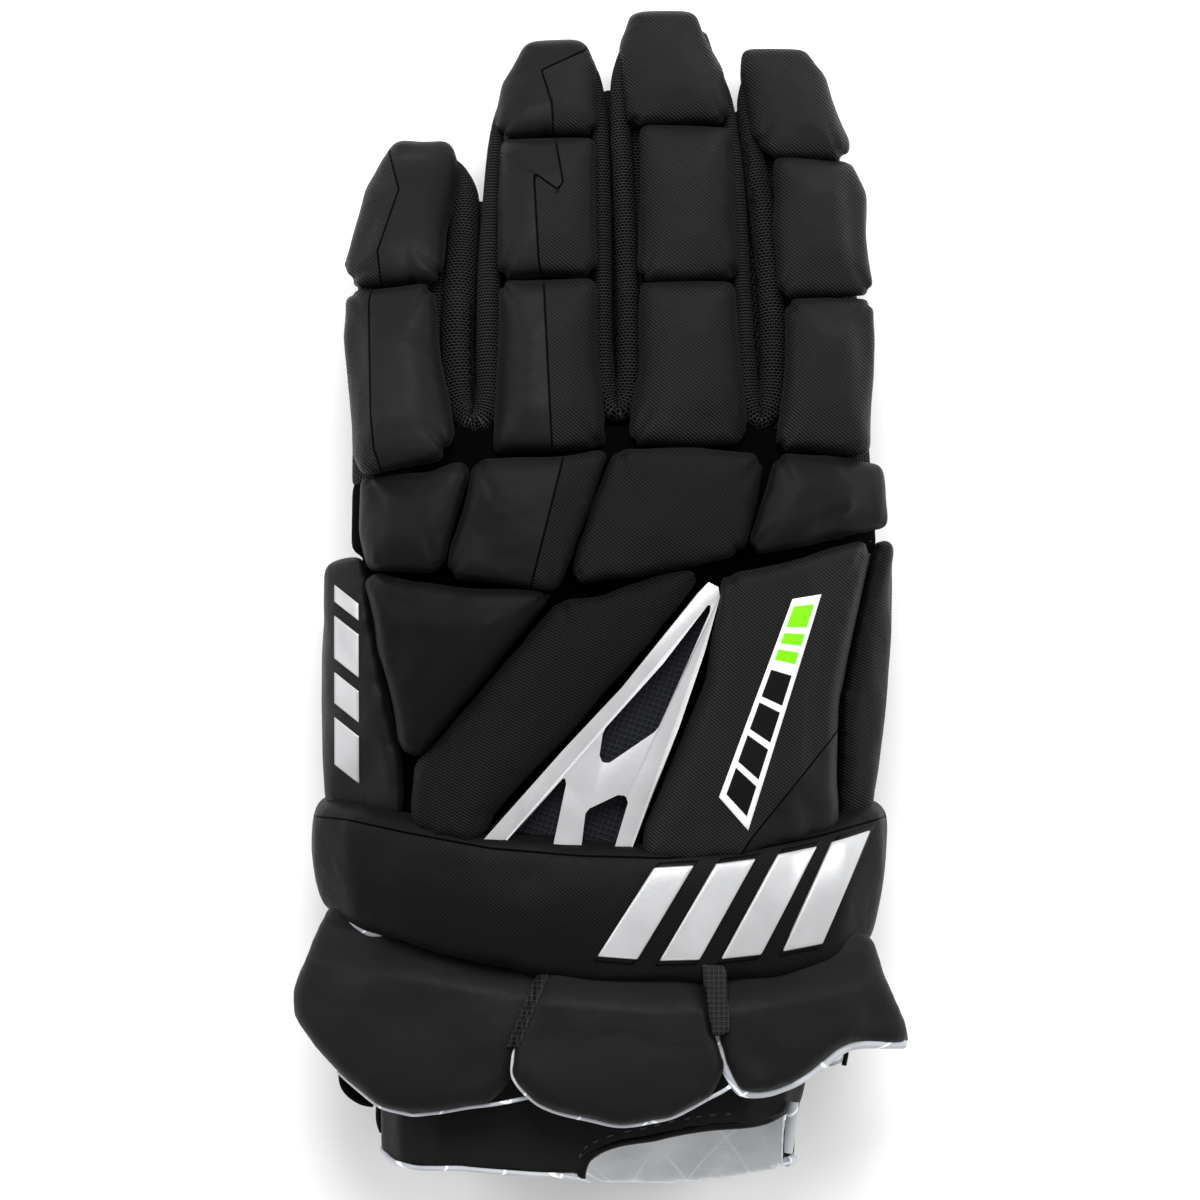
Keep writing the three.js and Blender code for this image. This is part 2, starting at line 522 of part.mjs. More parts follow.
function makeVent() {
  const ordered = (points, left) => (THREE.ShapeUtils.area(points) > 0 === left ? points : [...points].reverse());
  const outline = ordered(corners(VENT_OUTLINE).map(([x, y]) => new THREE.Vector2(x, y)), true);
  const onTop = (p, lift) => {
    const s = handSection((p.y / GLOVE_LENGTH) * 100);
    return s.z + s.b + lift;
  };
  const plate = (shape, from, depth) => {
    const geometry = new THREE.ExtrudeGeometry(shape, { depth, bevelEnabled: false });
    const at = geometry.attributes.position;
    for (let i = 0; i < at.count; i++)
      at.setZ(i, onTop({ x: at.getX(i), y: at.getY(i) }, from + at.getZ(i)));
    return solidOf(geometry);
  };
  const sink = 4;
  const backing = plate(new THREE.Shape(inset(outline, 0.8)), -sink, sink + VENT_BACK_THICKNESS);
  const frame = new THREE.Shape(outline);
  for (const table of VENT_WINDOWS)
    frame.holes.push(new THREE.Path(ordered(softOutline(corners(table), WINDOW_RADIUS, HAND_WIDTH), false)));
  const framed = plate(frame, VENT_BACK_THICKNESS + CLEARANCE, VENT_FRAME_THICKNESS);
  nodes.set("vent_frame", mainBody(framed.subtract(strapClear)));
  nodes.set("vent_mesh", mainBody(cutBy(backing, outside, framed.translate([0, 0, -CLEARANCE]), strapClear)));
}

// Raised bars on the strap, slanted, in a row. Each has the place across of its foot and its head.
const EMBLEM_BARS = [
  { foot: 0.5, head: 12.5 },
  { foot: 11.5, head: 23.5 },
  { foot: 22.5, head: 34.5 },
  { foot: 33.5, head: 43.5 },
];
const EMBLEM_LOW = 0.2;
const EMBLEM_HIGH = 0.8;
const EMBLEM_WIDTH = 6.6;

function strapRowAt(x) {
  const s = handSection(25);
  const angle = THREE.MathUtils.radToDeg(angleAt({ ...s, a: s.a + STRAP_THICKNESS }, x));
  const [low, high] = ["low", "high"].map((k) => column(STRAP_COURSE, "angle", angle, k));
  return { angle, low, high };
}

function makeStrap() {
  nodes.set("wrist_strap", mainBody(strapSolid(0).subtract(outside)));
  EMBLEM_BARS.forEach(({ foot, head }, i) => {
    const rings = [0, 0.5, 1].map((t) => {
      const across = THREE.MathUtils.lerp(EMBLEM_LOW, EMBLEM_HIGH, t);
      const middle = THREE.MathUtils.lerp(foot, head, t);
      const at = (side, lift) => strapPoint(strapRowAt(gridX(middle + side)), across, STRAP_THICKNESS * 1.05 + lift);
      return [at(0, -1.5), at(EMBLEM_WIDTH, -1.5), at(EMBLEM_WIDTH, EMBLEM_THICKNESS), at(EMBLEM_WIDTH / 2, EMBLEM_THICKNESS + 0.3), at(0, EMBLEM_THICKNESS)];
    });
    nodes.set(`strap_bar_${i + 1}`, mainBody(loft(rings).subtract(strapClear)));
  });
}

// The flared cuff panels. Rows of corners are [across, along].
const CUFF_PANELS = {
  outer: [[-47, 25.5], [-9.2, 21], [-12.4, 15.6], [-16.6, 11], [-17.6, 8.2], [-29.9, 7.3], [-38.3, 6.9], [-43, 8.4], [-55.1, 13.5], [-57.2, 15.8], [-55.5, 18.5]],
  middle: [[-9.7, 20.6], [3.7, 20], [19.2, 20], [20.4, 14], [23.3, 9.4], [13.1, 6.9], [3.7, 6.2], [-7.5, 7.3], [-14.4, 8.5], [-16.4, 11.4], [-12.1, 16.1]],
  thumb: [[21.6, 20.4], [37.3, 20.6], [48.9, 21.8], [56.9, 13.5], [57.6, 12.1], [50.4, 12.9], [44, 12], [35.5, 9.5], [28, 8.3], [24.8, 9.7], [22, 14.5]],
};
const WEB_TAB = [[18.4, 19.6], [23.4, 19.4], [24.4, 13.6], [20.6, 13.2]];
const PANEL_EDGE = 2.6;
const PANEL_LIFT = { outer: 0, middle: 3.4, thumb: 3.4 };

function panelPair(name, grow) {
  const place = (p, lift) => onFlare(p, lift + LINING_THICKNESS + CLEARANCE + PANEL_LIFT[name]);
  const outline = softOutline(corners(CUFF_PANELS[name]), 5, 22);
  const foam = pad(outline, place, { height: PANEL_THICKNESS, sink: grow, edge: PANEL_EDGE, crown: 0.5, grow });
  const sheet = inset(outline, -LINING_EDGE - grow);
  const [under, over] = [-CLEARANCE - LINING_THICKNESS - grow, -CLEARANCE + grow];
  const rings = [
    shrink(outline, 0.5).map((p) => place(p, over)),
    inset(outline, PANEL_EDGE * FOOT_SHARE - grow).map((p) => place(p, over)),
    sheet.map((p) => place(p, over)),
    sheet.map((p) => place(p, under)),
    shrink(outline, 0.5).map((p) => place(p, under)),
  ];
  return { foam, lining: loft(rings) };
}

function makeCuff() {
  const grown = {};
  for (const name of ["middle", "thumb", "outer"]) {
    const { foam, lining } = panelPair(name, 0);
    const over = Object.values(grown);
    nodes.set(`cuff_panel_${name}`, mainBody(cutBy(foam, outside, strapClear, ...over)));
    nodes.set(`cuff_lining_${name}`, mainBody(cutBy(lining, outside, strapClear, ...over)));
    const clear = panelPair(name, CLEARANCE);
    grown[name] = clear.foam.add(clear.lining);
  }
  const overPanels = PANEL_LIFT.middle + LINING_THICKNESS + PANEL_THICKNESS + 2 * CLEARANCE;
  const tab = pad(softOutline(corners(WEB_TAB), 1, 12), (p, lift) => onFlare(p, lift + overPanels), {
    height: TAB_THICKNESS, sink: -0.4, edge: 0.8, crown: 0.1, caps: [0.4] });
  nodes.set("web_tab", mainBody(cutBy(tab, strapClear, grown.middle, grown.thumb)));
}

// The floor trims what would hang below it, so the underside has a flat place to stand on.
function onFloor(made) {
  return made.intersect(block(BEFORE, BEYOND, () => 0, true));
}

// A firm panel under the wrist. Its rows are [angle from the top, along].
const PALM_PANEL = { from: 122, to: 238, low: 8.5, high: 26 };

function makePalmPanel() {
  const rows = steps(PALM_PANEL.from, PALM_PANEL.to, 8);
  const rings = rows.map((angle) => {
    const bow = Math.sin(((angle - PALM_PANEL.from) / (PALM_PANEL.to - PALM_PANEL.from)) * Math.PI);
    const at = (along, lift) => {
      const [x, z] = onSection(handSection(along), THREE.MathUtils.degToRad(angle), lift);
      return [x, gridY(along), z];
    };
    const [low, high] = [PALM_PANEL.low - 2 * bow, PALM_PANEL.high + 2 * bow];
    return [at(low, -2), at(low, PALM_PANEL_THICKNESS * 0.8), at(low + 1, PALM_PANEL_THICKNESS), at((low + high) / 2, PALM_PANEL_THICKNESS),
      at(high - 1, PALM_PANEL_THICKNESS), at(high, PALM_PANEL_THICKNESS * 0.8), at(high, -2)];
  });
  nodes.set("palm_panel", onFloor(mainBody(loft(rings).subtract(outside))));
}

// Pads on the thumb's outer side: each row gives where it starts and ends along the glove.
const THUMB_PADS = [
  { name: "thumb_pad_base", from: 41.5, to: 49.2 },
  { name: "thumb_pad_mid", from: 49.9, to: 57.2 },
  { name: "thumb_pad_tip", from: 57.9, to: 64.4 },
];
const THUMB_PAD_THICKNESS = 6.5;
const THUMB_PAD_SPAN = { from: 62, to: 158 };

function makeThumbPads() {
  for (const { name, from, to } of THUMB_PADS) {
    const angles = steps(THUMB_PAD_SPAN.from, THUMB_PAD_SPAN.to, 4);
    const rings = angles.map((angle, i) => {
      const edge = i === 0 || i + 1 === angles.length ? 0.55 : 1;
      const at = (along, lift) => {
        const [x, z] = onSection(thumbSection(along), THREE.MathUtils.degToRad(angle), lift);
        return [x, gridY(along), z];
      };
      const high = THUMB_PAD_THICKNESS * edge;
      return [at(from, -3), at(from, high * 0.7), at(from + 0.7, high), at((from + to) / 2, high + 0.4), at(to - 0.7, high), at(to, high * 0.7), at(to, -3)];
    });
    nodes.set(name, onFloor(mainBody(loft(rings).subtract(outside))));
  }
}

makeHand();
makeFingerPads();
makeBackPads();
makeVent();
makeCuff();
makeStrap();
makePalmPanel();
makeThumbPads();

const FINISHES = {
  knit: { color: 0x0d0d0d, roughness: 0.95, metalness: 0 },
  leather: { color: 0x151515, roughness: 0.7, metalness: 0 },
  nylon: { color: 0x171717, roughness: 0.6, metalness: 0 },
  lining: { color: 0x8d9096, roughness: 0.7, metalness: 0 },
  silver: { color: 0xb4b6b8, roughness: 0.35, metalness: 0.4 },
};
const finishOf = (name) => {
  if (/^(knit|back_liner|vent_mesh)/.test(name)) return FINISHES.knit;
  if (/leather|thumb_sleeve/.test(name)) return FINISHES.leather;
  if (/^(cuff_lining|wrist_facing)/.test(name)) return FINISHES.lining;
  if (/^(strap_bar|vent_frame)/.test(name)) return FINISHES.silver;
  return FINISHES.nylon;
};

// Each solid as a named mesh, in a group whose frame stands on the floor under the middle of the glove.
const glove = new THREE.Group();
for (const [name, made] of nodes) {
  const mesh = made.getMesh();
  const geometry = new THREE.BufferGeometry();
  geometry.setAttribute("position", new THREE.BufferAttribute(new Float32Array(mesh.vertProperties), 3));
  geometry.setIndex(new THREE.BufferAttribute(new Uint32Array(mesh.triVerts), 1));
  geometry.computeVertexNormals();
  const piece = new THREE.Mesh(geometry, new THREE.MeshStandardMaterial(finishOf(name)));
  piece.name = name;
  glove.add(piece);
}
const extent = new THREE.Box3().setFromObject(glove);
const middle = extent.getCenter(new THREE.Vector3());
for (const piece of glove.children) piece.position.set(-middle.x, -middle.y, -extent.min.z);

export default glove;
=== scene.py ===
"""A padded field glove for the left hand, lying palm down, dressed in nylon, knit, leather and silver."""
import math

import bmesh
import bpy
from bpy.props import FloatProperty, FloatVectorProperty, PointerProperty
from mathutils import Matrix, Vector
from mathutils.bvhtree import BVHTree


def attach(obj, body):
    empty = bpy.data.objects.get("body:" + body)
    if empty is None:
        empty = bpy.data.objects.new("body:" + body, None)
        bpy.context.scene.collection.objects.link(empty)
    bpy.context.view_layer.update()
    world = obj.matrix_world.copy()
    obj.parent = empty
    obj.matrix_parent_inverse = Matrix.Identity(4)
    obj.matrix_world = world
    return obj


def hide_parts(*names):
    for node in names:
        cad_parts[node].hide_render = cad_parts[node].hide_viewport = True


bl_info = {
    "name": "Padded Field Glove",
    "version": (1, 0, 0),
    "blender": (4, 5, 0),
    "location": "3D View > Sidebar > Glove",
    "description": "Sews the pads, knit, palm, strap and cuff of a padded glove over its fixed frame",
    "category": "Object",
}

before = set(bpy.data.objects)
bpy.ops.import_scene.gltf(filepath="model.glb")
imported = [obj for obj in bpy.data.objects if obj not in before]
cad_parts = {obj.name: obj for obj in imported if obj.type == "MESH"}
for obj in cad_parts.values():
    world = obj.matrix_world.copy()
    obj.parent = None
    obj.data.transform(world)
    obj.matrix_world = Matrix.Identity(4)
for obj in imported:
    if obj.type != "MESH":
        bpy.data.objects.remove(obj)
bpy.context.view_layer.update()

MM = 0.001
HAND_WIDTH = 150 * MM
GLOVE_LENGTH = 331 * MM
GRID_ORIGIN = Vector((-0.726 * MM, -164.634 * MM))
SIMULATED_FRAMES = 20
MOVE_SMOOTHING = 7  # rounds that even out a pad's swelling, so it crowns without crumpling
TUCK = 2.5 * MM  # how far a pad's edge reaches under the strap
TUCK_DEPTH = 6 * MM  # how far a cuff panel's edge drops there


def grid(across, along):
    """A place on the pattern's grid, in hundredths of the hand's width and of the glove's length, in metres."""
    return GRID_ORIGIN + Vector((across / 100 * HAND_WIDTH, along / 100 * GLOVE_LENGTH))


def off_grid(point):
    """The place on the grid of a point, as across and along."""
    away = point.xy - GRID_ORIGIN
    return away.x / HAND_WIDTH * 100, away.y / GLOVE_LENGTH * 100


# The strap's lower and upper edges along the glove, at places across it
STRAP_EDGES = [(-26.5, 19.8, 31.2), (-8.8, 18.5, 29.9), (10.5, 17.8, 29.4), (25.2, 17.9, 29.9), (40.0, 18.8, 31.2), (54.0, 20.6, 32.9)]
EMBLEM_BARS = [(-0.5, 10.0), (11.0, 21.5), (22.5, 33.0), (34.0, 43.2)]
EMBLEM_WIDTH = 7.4
EMBLEM_LOW = 0.16
EMBLEM_HIGH = 0.84


def on_strap(across, share):
    """A place on the grid at a share of the strap's width."""
    for a, b in zip(STRAP_EDGES, STRAP_EDGES[1:]):
        if across <= b[0] or b is STRAP_EDGES[-1]:
            t = (across - a[0]) / (b[0] - a[0])
            low, high = (a[k] + (b[k] - a[k]) * t for k in (1, 2))
            return across, low + (high - low) * share
    return across, STRAP_EDGES[-1][1]


# Sizes and colours that a user would change


class PadSettings(bpy.types.PropertyGroup):
    voxel: FloatProperty(name="Voxel", description="Size of the cells that a pad is remeshed with",
                         default=0.0017, unit="LENGTH")
    swell: FloatProperty(name="Swell", description="Farthest that the foam may push a pad's cover out",
                         default=0.0009, unit="LENGTH")
    pressure: FloatProperty(name="Pressure", description="Pressure of the foam against its cover", default=4.0)
    colour: FloatVectorProperty(name="Nylon", description="Colour of the woven cover", subtype="COLOR", size=3,
                                default=(0.0046, 0.0046, 0.0047))
    fatten: FloatProperty(name="Fatten", description="How far a cover stands out after its edges are softened",
                          default=0.0011, unit="LENGTH")
    rib_spacing: FloatProperty(name="Rib spacing", description="Distance between the ribs of the woven cover",
                               default=0.0008, unit="LENGTH")


class KnitSettings(bpy.types.PropertyGroup):
    colour: FloatVectorProperty(name="Knit", description="Colour of the knit mesh", subtype="COLOR", size=3,
                                default=(0.0075, 0.0075, 0.0078))
    cell: FloatProperty(name="Cell", description="Distance between the holes of the knit mesh",
                        default=0.0012, unit="LENGTH")


class TrimSettings(bpy.types.PropertyGroup):
    silver: FloatVectorProperty(name="Silver", description="Colour of the frame and of the emblem", subtype="COLOR",
                                size=3, default=(0.42, 0.423, 0.43))
    lining: FloatVectorProperty(name="Lining", description="Colour of the lining", subtype="COLOR", size=3,
                                default=(0.26, 0.27, 0.29))
    accent: FloatVectorProperty(name="Accent", description="Colour of the badge's bright end", subtype="COLOR",
                                size=3, default=(0.16, 0.75, 0.004))
    leather: FloatVectorProperty(name="Leather", description="Colour of the palm's leather", subtype="COLOR",
                                 size=3, default=(0.011, 0.0107, 0.0104))


class StageSettings(bpy.types.PropertyGroup):
    lens: FloatProperty(name="Lens", description="Focal length of the camera in millimetres", default=300.0)
    view_width: FloatProperty(name="View width", description="Width that the camera sees at the glove's back",
                              default=0.336, unit="LENGTH")
    view_height: FloatProperty(name="View level", description="Height above the floor at which that width holds",
                               default=0.055, unit="LENGTH")


# Making and shaping pieces


def select_only(*pieces):
    bpy.ops.object.select_all(action="DESELECT")
    for piece in pieces:
        piece.select_set(True)
    bpy.context.view_layer.objects.active = pieces[0]


def copy_of(name, *nodes):
    """One object made of copies of frame nodes, with the points that their faces share merged."""
    select_only(*(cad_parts[node] for node in nodes))
    bpy.ops.object.duplicate()
    if len(nodes) > 1:
        bpy.ops.object.join()
    piece = bpy.context.view_layer.objects.active
    piece.name = name
    piece.parent = None
    for key in [key for key in piece.keys() if key.startswith("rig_")]:
        del piece[key]
    piece.data.materials.clear()
    edit(piece, lambda: bpy.ops.mesh.remove_doubles(threshold=0.00001))
    return piece


def edit(piece, work):
    """Runs work in edit mode with all of the piece selected."""
    select_only(piece)
    bpy.ops.object.mode_set(mode="EDIT")
    bpy.ops.mesh.select_all(action="SELECT")
    work()
    bpy.ops.object.mode_set(mode="OBJECT")


def apply(piece, kind, **values):
    """Adds a modifier with these values and applies it."""
    modifier = piece.modifiers.new(kind.lower(), kind)
    for key, value in values.items():
        setattr(modifier, key, value)
    select_only(piece)
    bpy.ops.object.modifier_apply(modifier=modifier.name)


def remesh(piece, voxel):
    apply(piece, "REMESH", mode="VOXEL", voxel_size=voxel, use_smooth_shade=True)


def soften(piece, factor=0.5, times=6):
    apply(piece, "SMOOTH", factor=factor, iterations=times)


def subdivide(piece):
    apply(piece, "SUBSURF", levels=1, render_levels=1)


def place_applied(piece):
    select_only(piece)
    bpy.ops.object.transform_apply(location=True, rotation=True, scale=True)


def finish_piece(piece, material, nodes=()):
    """Gives a piece its finish and its place in the frame."""
    if material is not None:
        piece.data.materials.clear()
        piece.data.materials.append(material)
    select_only(piece)
    bpy.ops.object.shade_smooth()
    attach(piece, "root")
    if nodes:
        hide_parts(*nodes)


def surface_of(*nodes):
    """A search tree over frame nodes or pieces, to find the nearest surface or the one below a point."""
    points, faces = [], []
    for node in nodes:
        mesh = (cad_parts[node] if isinstance(node, str) else node).data
        start = len(points)
        points += [v.co.copy() for v in mesh.vertices]
        faces += [[start + i for i in face.vertices] for face in mesh.polygons]
    return BVHTree.FromPolygons(points, faces)


def height_over(tree, x, y, fallback=0.05):
    """Height of the highest surface of a tree at a place."""
    hit = tree.ray_cast(Vector((x, y, 0.3)), Vector((0, 0, -1)))[0]
    return hit.z if hit else fallback


def inflate(pads, held_by, cap, pressure):
    """Swells closed covers from within as cloth, held where they meet the glove, and no farther than the cap."""
    resting = {}
    for pad in pads:
        resting[pad.name] = [v.co.copy() for v in pad.data.vertices]
        seated = [v.index for v in pad.data.vertices if held_by.find_nearest(v.co, 0.0022)[0] is not None]
        pins = pad.vertex_groups.new(name="pins")
        pins.add(seated, 1.0, "REPLACE")
        cloth = pad.modifiers.new("cloth", "CLOTH")
        cover = cloth.settings
        cover.quality = 4
        cover.mass = 0.2
        cover.tension_stiffness = 12
        cover.compression_stiffness = 12
        cover.shear_stiffness = 4
        cover.bending_stiffness = 0.3
        cover.shrink_min = -0.035
        cover.use_pressure = True
        cover.uniform_pressure_force = pressure
        cover.vertex_group_mass = "pins"
        cover.effector_weights.gravity = 0
    for number in range(1, SIMULATED_FRAMES + 1):
        bpy.context.scene.frame_set(number)
    depsgraph = bpy.context.evaluated_depsgraph_get()
    swollen = {pad.name: [v.co.copy() for v in pad.evaluated_get(depsgraph).data.vertices] for pad in pads}
    for pad in pads:
        pad.modifiers.remove(pad.modifiers["cloth"])
        pad.vertex_groups.remove(pad.vertex_groups["pins"])
        moves = []
        for before, after in zip(resting[pad.name], swollen[pad.name]):
            move = after - before
            moves.append(move * min(1.0, cap / max(move.length, 1e-9)))
        for _ in range(MOVE_SMOOTHING):
            sums, counts = [move.copy() for move in moves], [1] * len(moves)
            for edge in pad.data.edges:
                a, b = edge.vertices
                sums[a] += moves[b]
                sums[b] += moves[a]
                counts[a] += 1
                counts[b] += 1
            moves = [total / count for total, count in zip(sums, counts)]
        for vertex, before, move in zip(pad.data.vertices, resting[pad.name], moves):
            vertex.co = before + move
    bpy.context.scene.frame_set(1)


def nudge(piece, places):
    """Moves the part of a piece round each place. Rows are across, along, reach in millimetres, and the move in x and y."""
    for across, along, reach, move_x, move_y in places:
        centre = grid(across, along)
        for vertex in piece.data.vertices:
            away = (vertex.co.xy - centre).length / (reach * MM)
            if away < 1:
                fade = (1 - away * away) ** 2
                vertex.co.x += move_x * MM * fade
                vertex.co.y += move_y * MM * fade


def tuck(piece):
    """Draws a piece's edge in under the wrist strap, from whichever side of the strap it lies."""
    for vertex in piece.data.vertices:
        across, along = off_grid(vertex.co)
        low, high = on_strap(across, 0.0)[1], on_strap(across, 1.0)[1]
        if along > (low + high) / 2:
            vertex.co.y -= TUCK * max(0.0, min(1.0, (high + 1.2 - along) / 0.8))
        else:
            share = max(0.0, min(1.0, (along - low + 2.6) / 2.8))
            fade = share * share * (3 - 2 * share)
            vertex.co.y += TUCK * fade
            vertex.co.z -= TUCK_DEPTH * fade


def draw_mouth(piece, places=()):
    """Draws the wrist's mouth up the glove, by what the table gives across it, and then nudges the given places."""
    for vertex in piece.data.vertices:
        across, along = off_grid(vertex.co)
        a, b = next((a, b) for a, b in zip(MOUTH_DRAW, MOUTH_DRAW[1:]) if across <= b[0])
        move = a[1] + (b[1] - a[1]) * (across - a[0]) / (b[0] - a[0])
        vertex.co.y += move * MM * max(0.0, min(1.0, (7 - along) / 6))
    nudge(piece, [*LINER_NUDGES, *places])


def outline_stops(piece, across, along, first, last, step=3.0):
    """Places on a piece's outline as seen from above, at angles in degrees round a place within it."""
    centre = grid(across, along)
    spots = []
    angle = first
    while (angle - last) * step < 0:
        course = Vector((math.cos(math.radians(angle)), math.sin(math.radians(angle))))
        best = None
        for vertex in piece.data.vertices:
            away = vertex.co.xy - centre
            reach = away.dot(course)
            if abs(away.cross(course)) < 0.0012 and (best is None or reach > best[0]):
                best = (reach, vertex.co.copy())
        spots.append(best[1])
        angle += step
    return spots


def press_lines(piece, lines):
    """Presses creases into a piece. Each line is from and to on the grid, its depth and its width in millimetres."""
    for start_across, start_along, end_across, end_along, depth, width in lines:
        start, end = grid(start_across, start_along), grid(end_across, end_along)
        along = end - start
        for vertex in piece.data.vertices:
            point = vertex.co.xy
            share = max(0.0, min(1.0, (point - start).dot(along) / along.length_squared))
            distance = (point - (start + along * share)).length / (width * MM)
            if distance < 3:
                fade = 1 - 0.75 * share
                vertex.co -= vertex.normal * depth * MM * fade * math.exp(-distance * distance)


def mark_seam(piece, seam, ribs):
    """Stores each point's signed distance in millimetres from a seam, positive on the ribbed side."""
    marks = piece.data.attributes.new("seam", "FLOAT", "POINT")
    if seam is None:
        values = [9.0 * ribs] * len(piece.data.vertices)
    else:
        line = [grid(*corner) for corner in seam]
        values = [9.0 if ribs > 0 else -9.0] * len(piece.data.vertices)
        for vertex in piece.data.vertices:
            point = vertex.co.xy
            best = None
            for a, b in zip(line, line[1:]):
                step = b - a
                share = max(0.0, min(1.0, (point - a).dot(step) / step.length_squared))
                gap = point - (a + step * share)
                if best is None or gap.length < best[0] - 1e-7:
                    side = step.x * (point - a).y - step.y * (point - a).x
                    best = (gap.length, math.copysign(1.0, side))
            values[vertex.index] = max(-9.0, min(9.0, ribs * best[1] * best[0] / MM))
    marks.data.foreach_set("value", values)


# Shader groups that several finishes share


class Graph:
    """Short ways to add and join nodes in a material or a group."""

    def __init__(self, tree):
        self.nodes, self.links = tree.nodes, tree.links

    def add(self, kind, inputs=None, **values):
        node = self.nodes.new(kind)
        for key, value in values.items():
            setattr(node, key, value)
        for key, value in (inputs or {}).items():
            if isinstance(value, bpy.types.NodeSocket):
                self.links.new(value, node.inputs[key])
            else:
                node.inputs[key].default_value = value
        return node

    def math(self, operation, a, b=0.0, c=0.0):
        return self.add("ShaderNodeMath", {0: a, 1: b, 2: c}, operation=operation).outputs[0]

    def smooth_step(self, value, low, high, to_low=0.0, to_high=1.0):
        return self.add("ShaderNodeMapRange", {"Value": value, "From Min": low, "From Max": high, "To Min": to_low,
                                               "To Max": to_high}, interpolation_type="SMOOTHSTEP").outputs["Result"]

    def mix_colour(self, share, a, b):
        node = self.nodes.new("ShaderNodeMix")
        node.data_type = "RGBA"
        for socket, value in ((node.inputs[0], share), (node.inputs[6], a), (node.inputs[7], b)):
            if isinstance(value, bpy.types.NodeSocket):
                self.links.new(value, socket)
            else:
                socket.default_value = value
        return node.outputs[2]


def new_group(name, inputs, outputs):
    """An empty shader group with these named sockets, its graph, and the sockets inside it."""
    tree = bpy.data.node_groups.new(name, "ShaderNodeTree")
    for label, kind, default in inputs:
        socket = tree.interface.new_socket(name=label, in_out="INPUT", socket_type=kind)
        if default is not None:
            socket.default_value = default
    for label, kind in outputs:
        tree.interface.new_socket(name=label, in_out="OUTPUT", socket_type=kind)
    graph = Graph(tree)
    return tree, graph, graph.add("NodeGroupInput").outputs, graph.add("NodeGroupOutput").inputs


def ribs_group():
    """Fine straight ribs, as on twill: height of each rib across the cloth."""
    tree, g, given, put = new_group("rib_weave", [
        ("Vector", "NodeSocketVector", None), ("Angle", "NodeSocketFloat", 0.0), ("Spacing", "NodeSocketFloat", 0.001),
        ("Wander", "NodeSocketFloat", 0.0002)], [("Height", "NodeSocketFloat"), ("Crossing", "NodeSocketFloat")])
    turn = g.add("ShaderNodeVectorRotate", {"Vector": given["Vector"], "Angle": given["Angle"]}, rotation_type="Z_AXIS")
    at = g.add("ShaderNodeSeparateXYZ", {0: turn.outputs[0]})
    noise = g.add("ShaderNodeTexNoise", {"Vector": given["Vector"], "Scale": 70.0, "Detail": 1.0})
    drift = g.math("MULTIPLY", g.math("SUBTRACT", noise.outputs["Fac"], 0.5), given["Wander"])
    across = g.math("ADD", at.outputs["X"], drift)
    phase = g.math("MULTIPLY", g.math("DIVIDE", across, given["Spacing"]), math.tau)
    wave = g.math("MULTIPLY_ADD", g.math("SINE", phase), 0.5, 0.5)
    thread = g.math("MULTIPLY", g.math("DIVIDE", at.outputs["Y"], given["Spacing"]), math.tau * 2)
    g.links.new(wave, put["Height"])
    g.links.new(g.math("MULTIPLY_ADD", g.math("SINE", thread), 0.5, 0.5), put["Crossing"])
    return tree


def folds_group():
    """Soft unevenness of cloth over foam: slow hills and a finer grain."""
    tree, g, given, put = new_group("cloth_folds", [
        ("Vector", "NodeSocketVector", None), ("Scale", "NodeSocketFloat", 60.0)],
        [("Hills", "NodeSocketFloat"), ("Grain", "NodeSocketFloat")])
    slow = g.add("ShaderNodeTexNoise", {"Vector": given["Vector"], "Scale": given["Scale"], "Detail": 2.0,
                                        "Roughness": 0.45, "Distortion": 0.6})
    fine = g.add("ShaderNodeTexNoise", {"Vector": given["Vector"], "Scale": g.math("MULTIPLY", given["Scale"], 14.0),
                                        "Detail": 2.0})
    g.links.new(slow.outputs["Fac"], put["Hills"])
    g.links.new(fine.outputs["Fac"], put["Grain"])
    return tree


def knit_group():
    """Rows of small open holes between rounded threads."""
    tree, g, given, put = new_group("knit_cells", [
        ("Vector", "NodeSocketVector", None), ("Cell", "NodeSocketFloat", 0.0016)],
        [("Height", "NodeSocketFloat"), ("Hole", "NodeSocketFloat")])
    warp = g.add("ShaderNodeTexNoise", {"Vector": given["Vector"], "Scale": 90.0, "Detail": 1.0})
    shift = g.add("ShaderNodeVectorMath", {0: warp.outputs["Color"], 1: (0.0006, 0.0006, 0.0)}, operation="MULTIPLY")
    moved = g.add("ShaderNodeVectorMath", {0: given["Vector"], 1: shift.outputs[0]}, operation="ADD")
    at = g.add("ShaderNodeSeparateXYZ", {0: moved.outputs[0]})
    u = g.math("DIVIDE", at.outputs["X"], given["Cell"])
    v = g.math("DIVIDE", at.outputs["Y"], g.math("MULTIPLY", given["Cell"], 0.72))
    row = g.math("FLOOR", v)
    odd = g.math("MULTIPLY", g.math("MODULO", row, 2.0), 0.5)
    du = g.math("SUBTRACT", g.math("FRACT", g.math("ADD", u, odd)), 0.5)
    dv = g.math("SUBTRACT", g.math("FRACT", v), 0.5)
    far = g.math("SQRT", g.math("ADD", g.math("MULTIPLY", du, du), g.math("MULTIPLY", g.math("MULTIPLY", dv, dv), 1.3)))
    hole = g.smooth_step(far, 0.2, 0.36, 1.0, 0.0)
    g.links.new(g.smooth_step(far, 0.16, 0.62), put["Height"])
    g.links.new(hole, put["Hole"])
    return tree


def group_node(graph, tree, **inputs):
    return graph.add("ShaderNodeGroup", {key.replace("_", " ").title(): v for key, v in inputs.items()}, node_tree=tree)


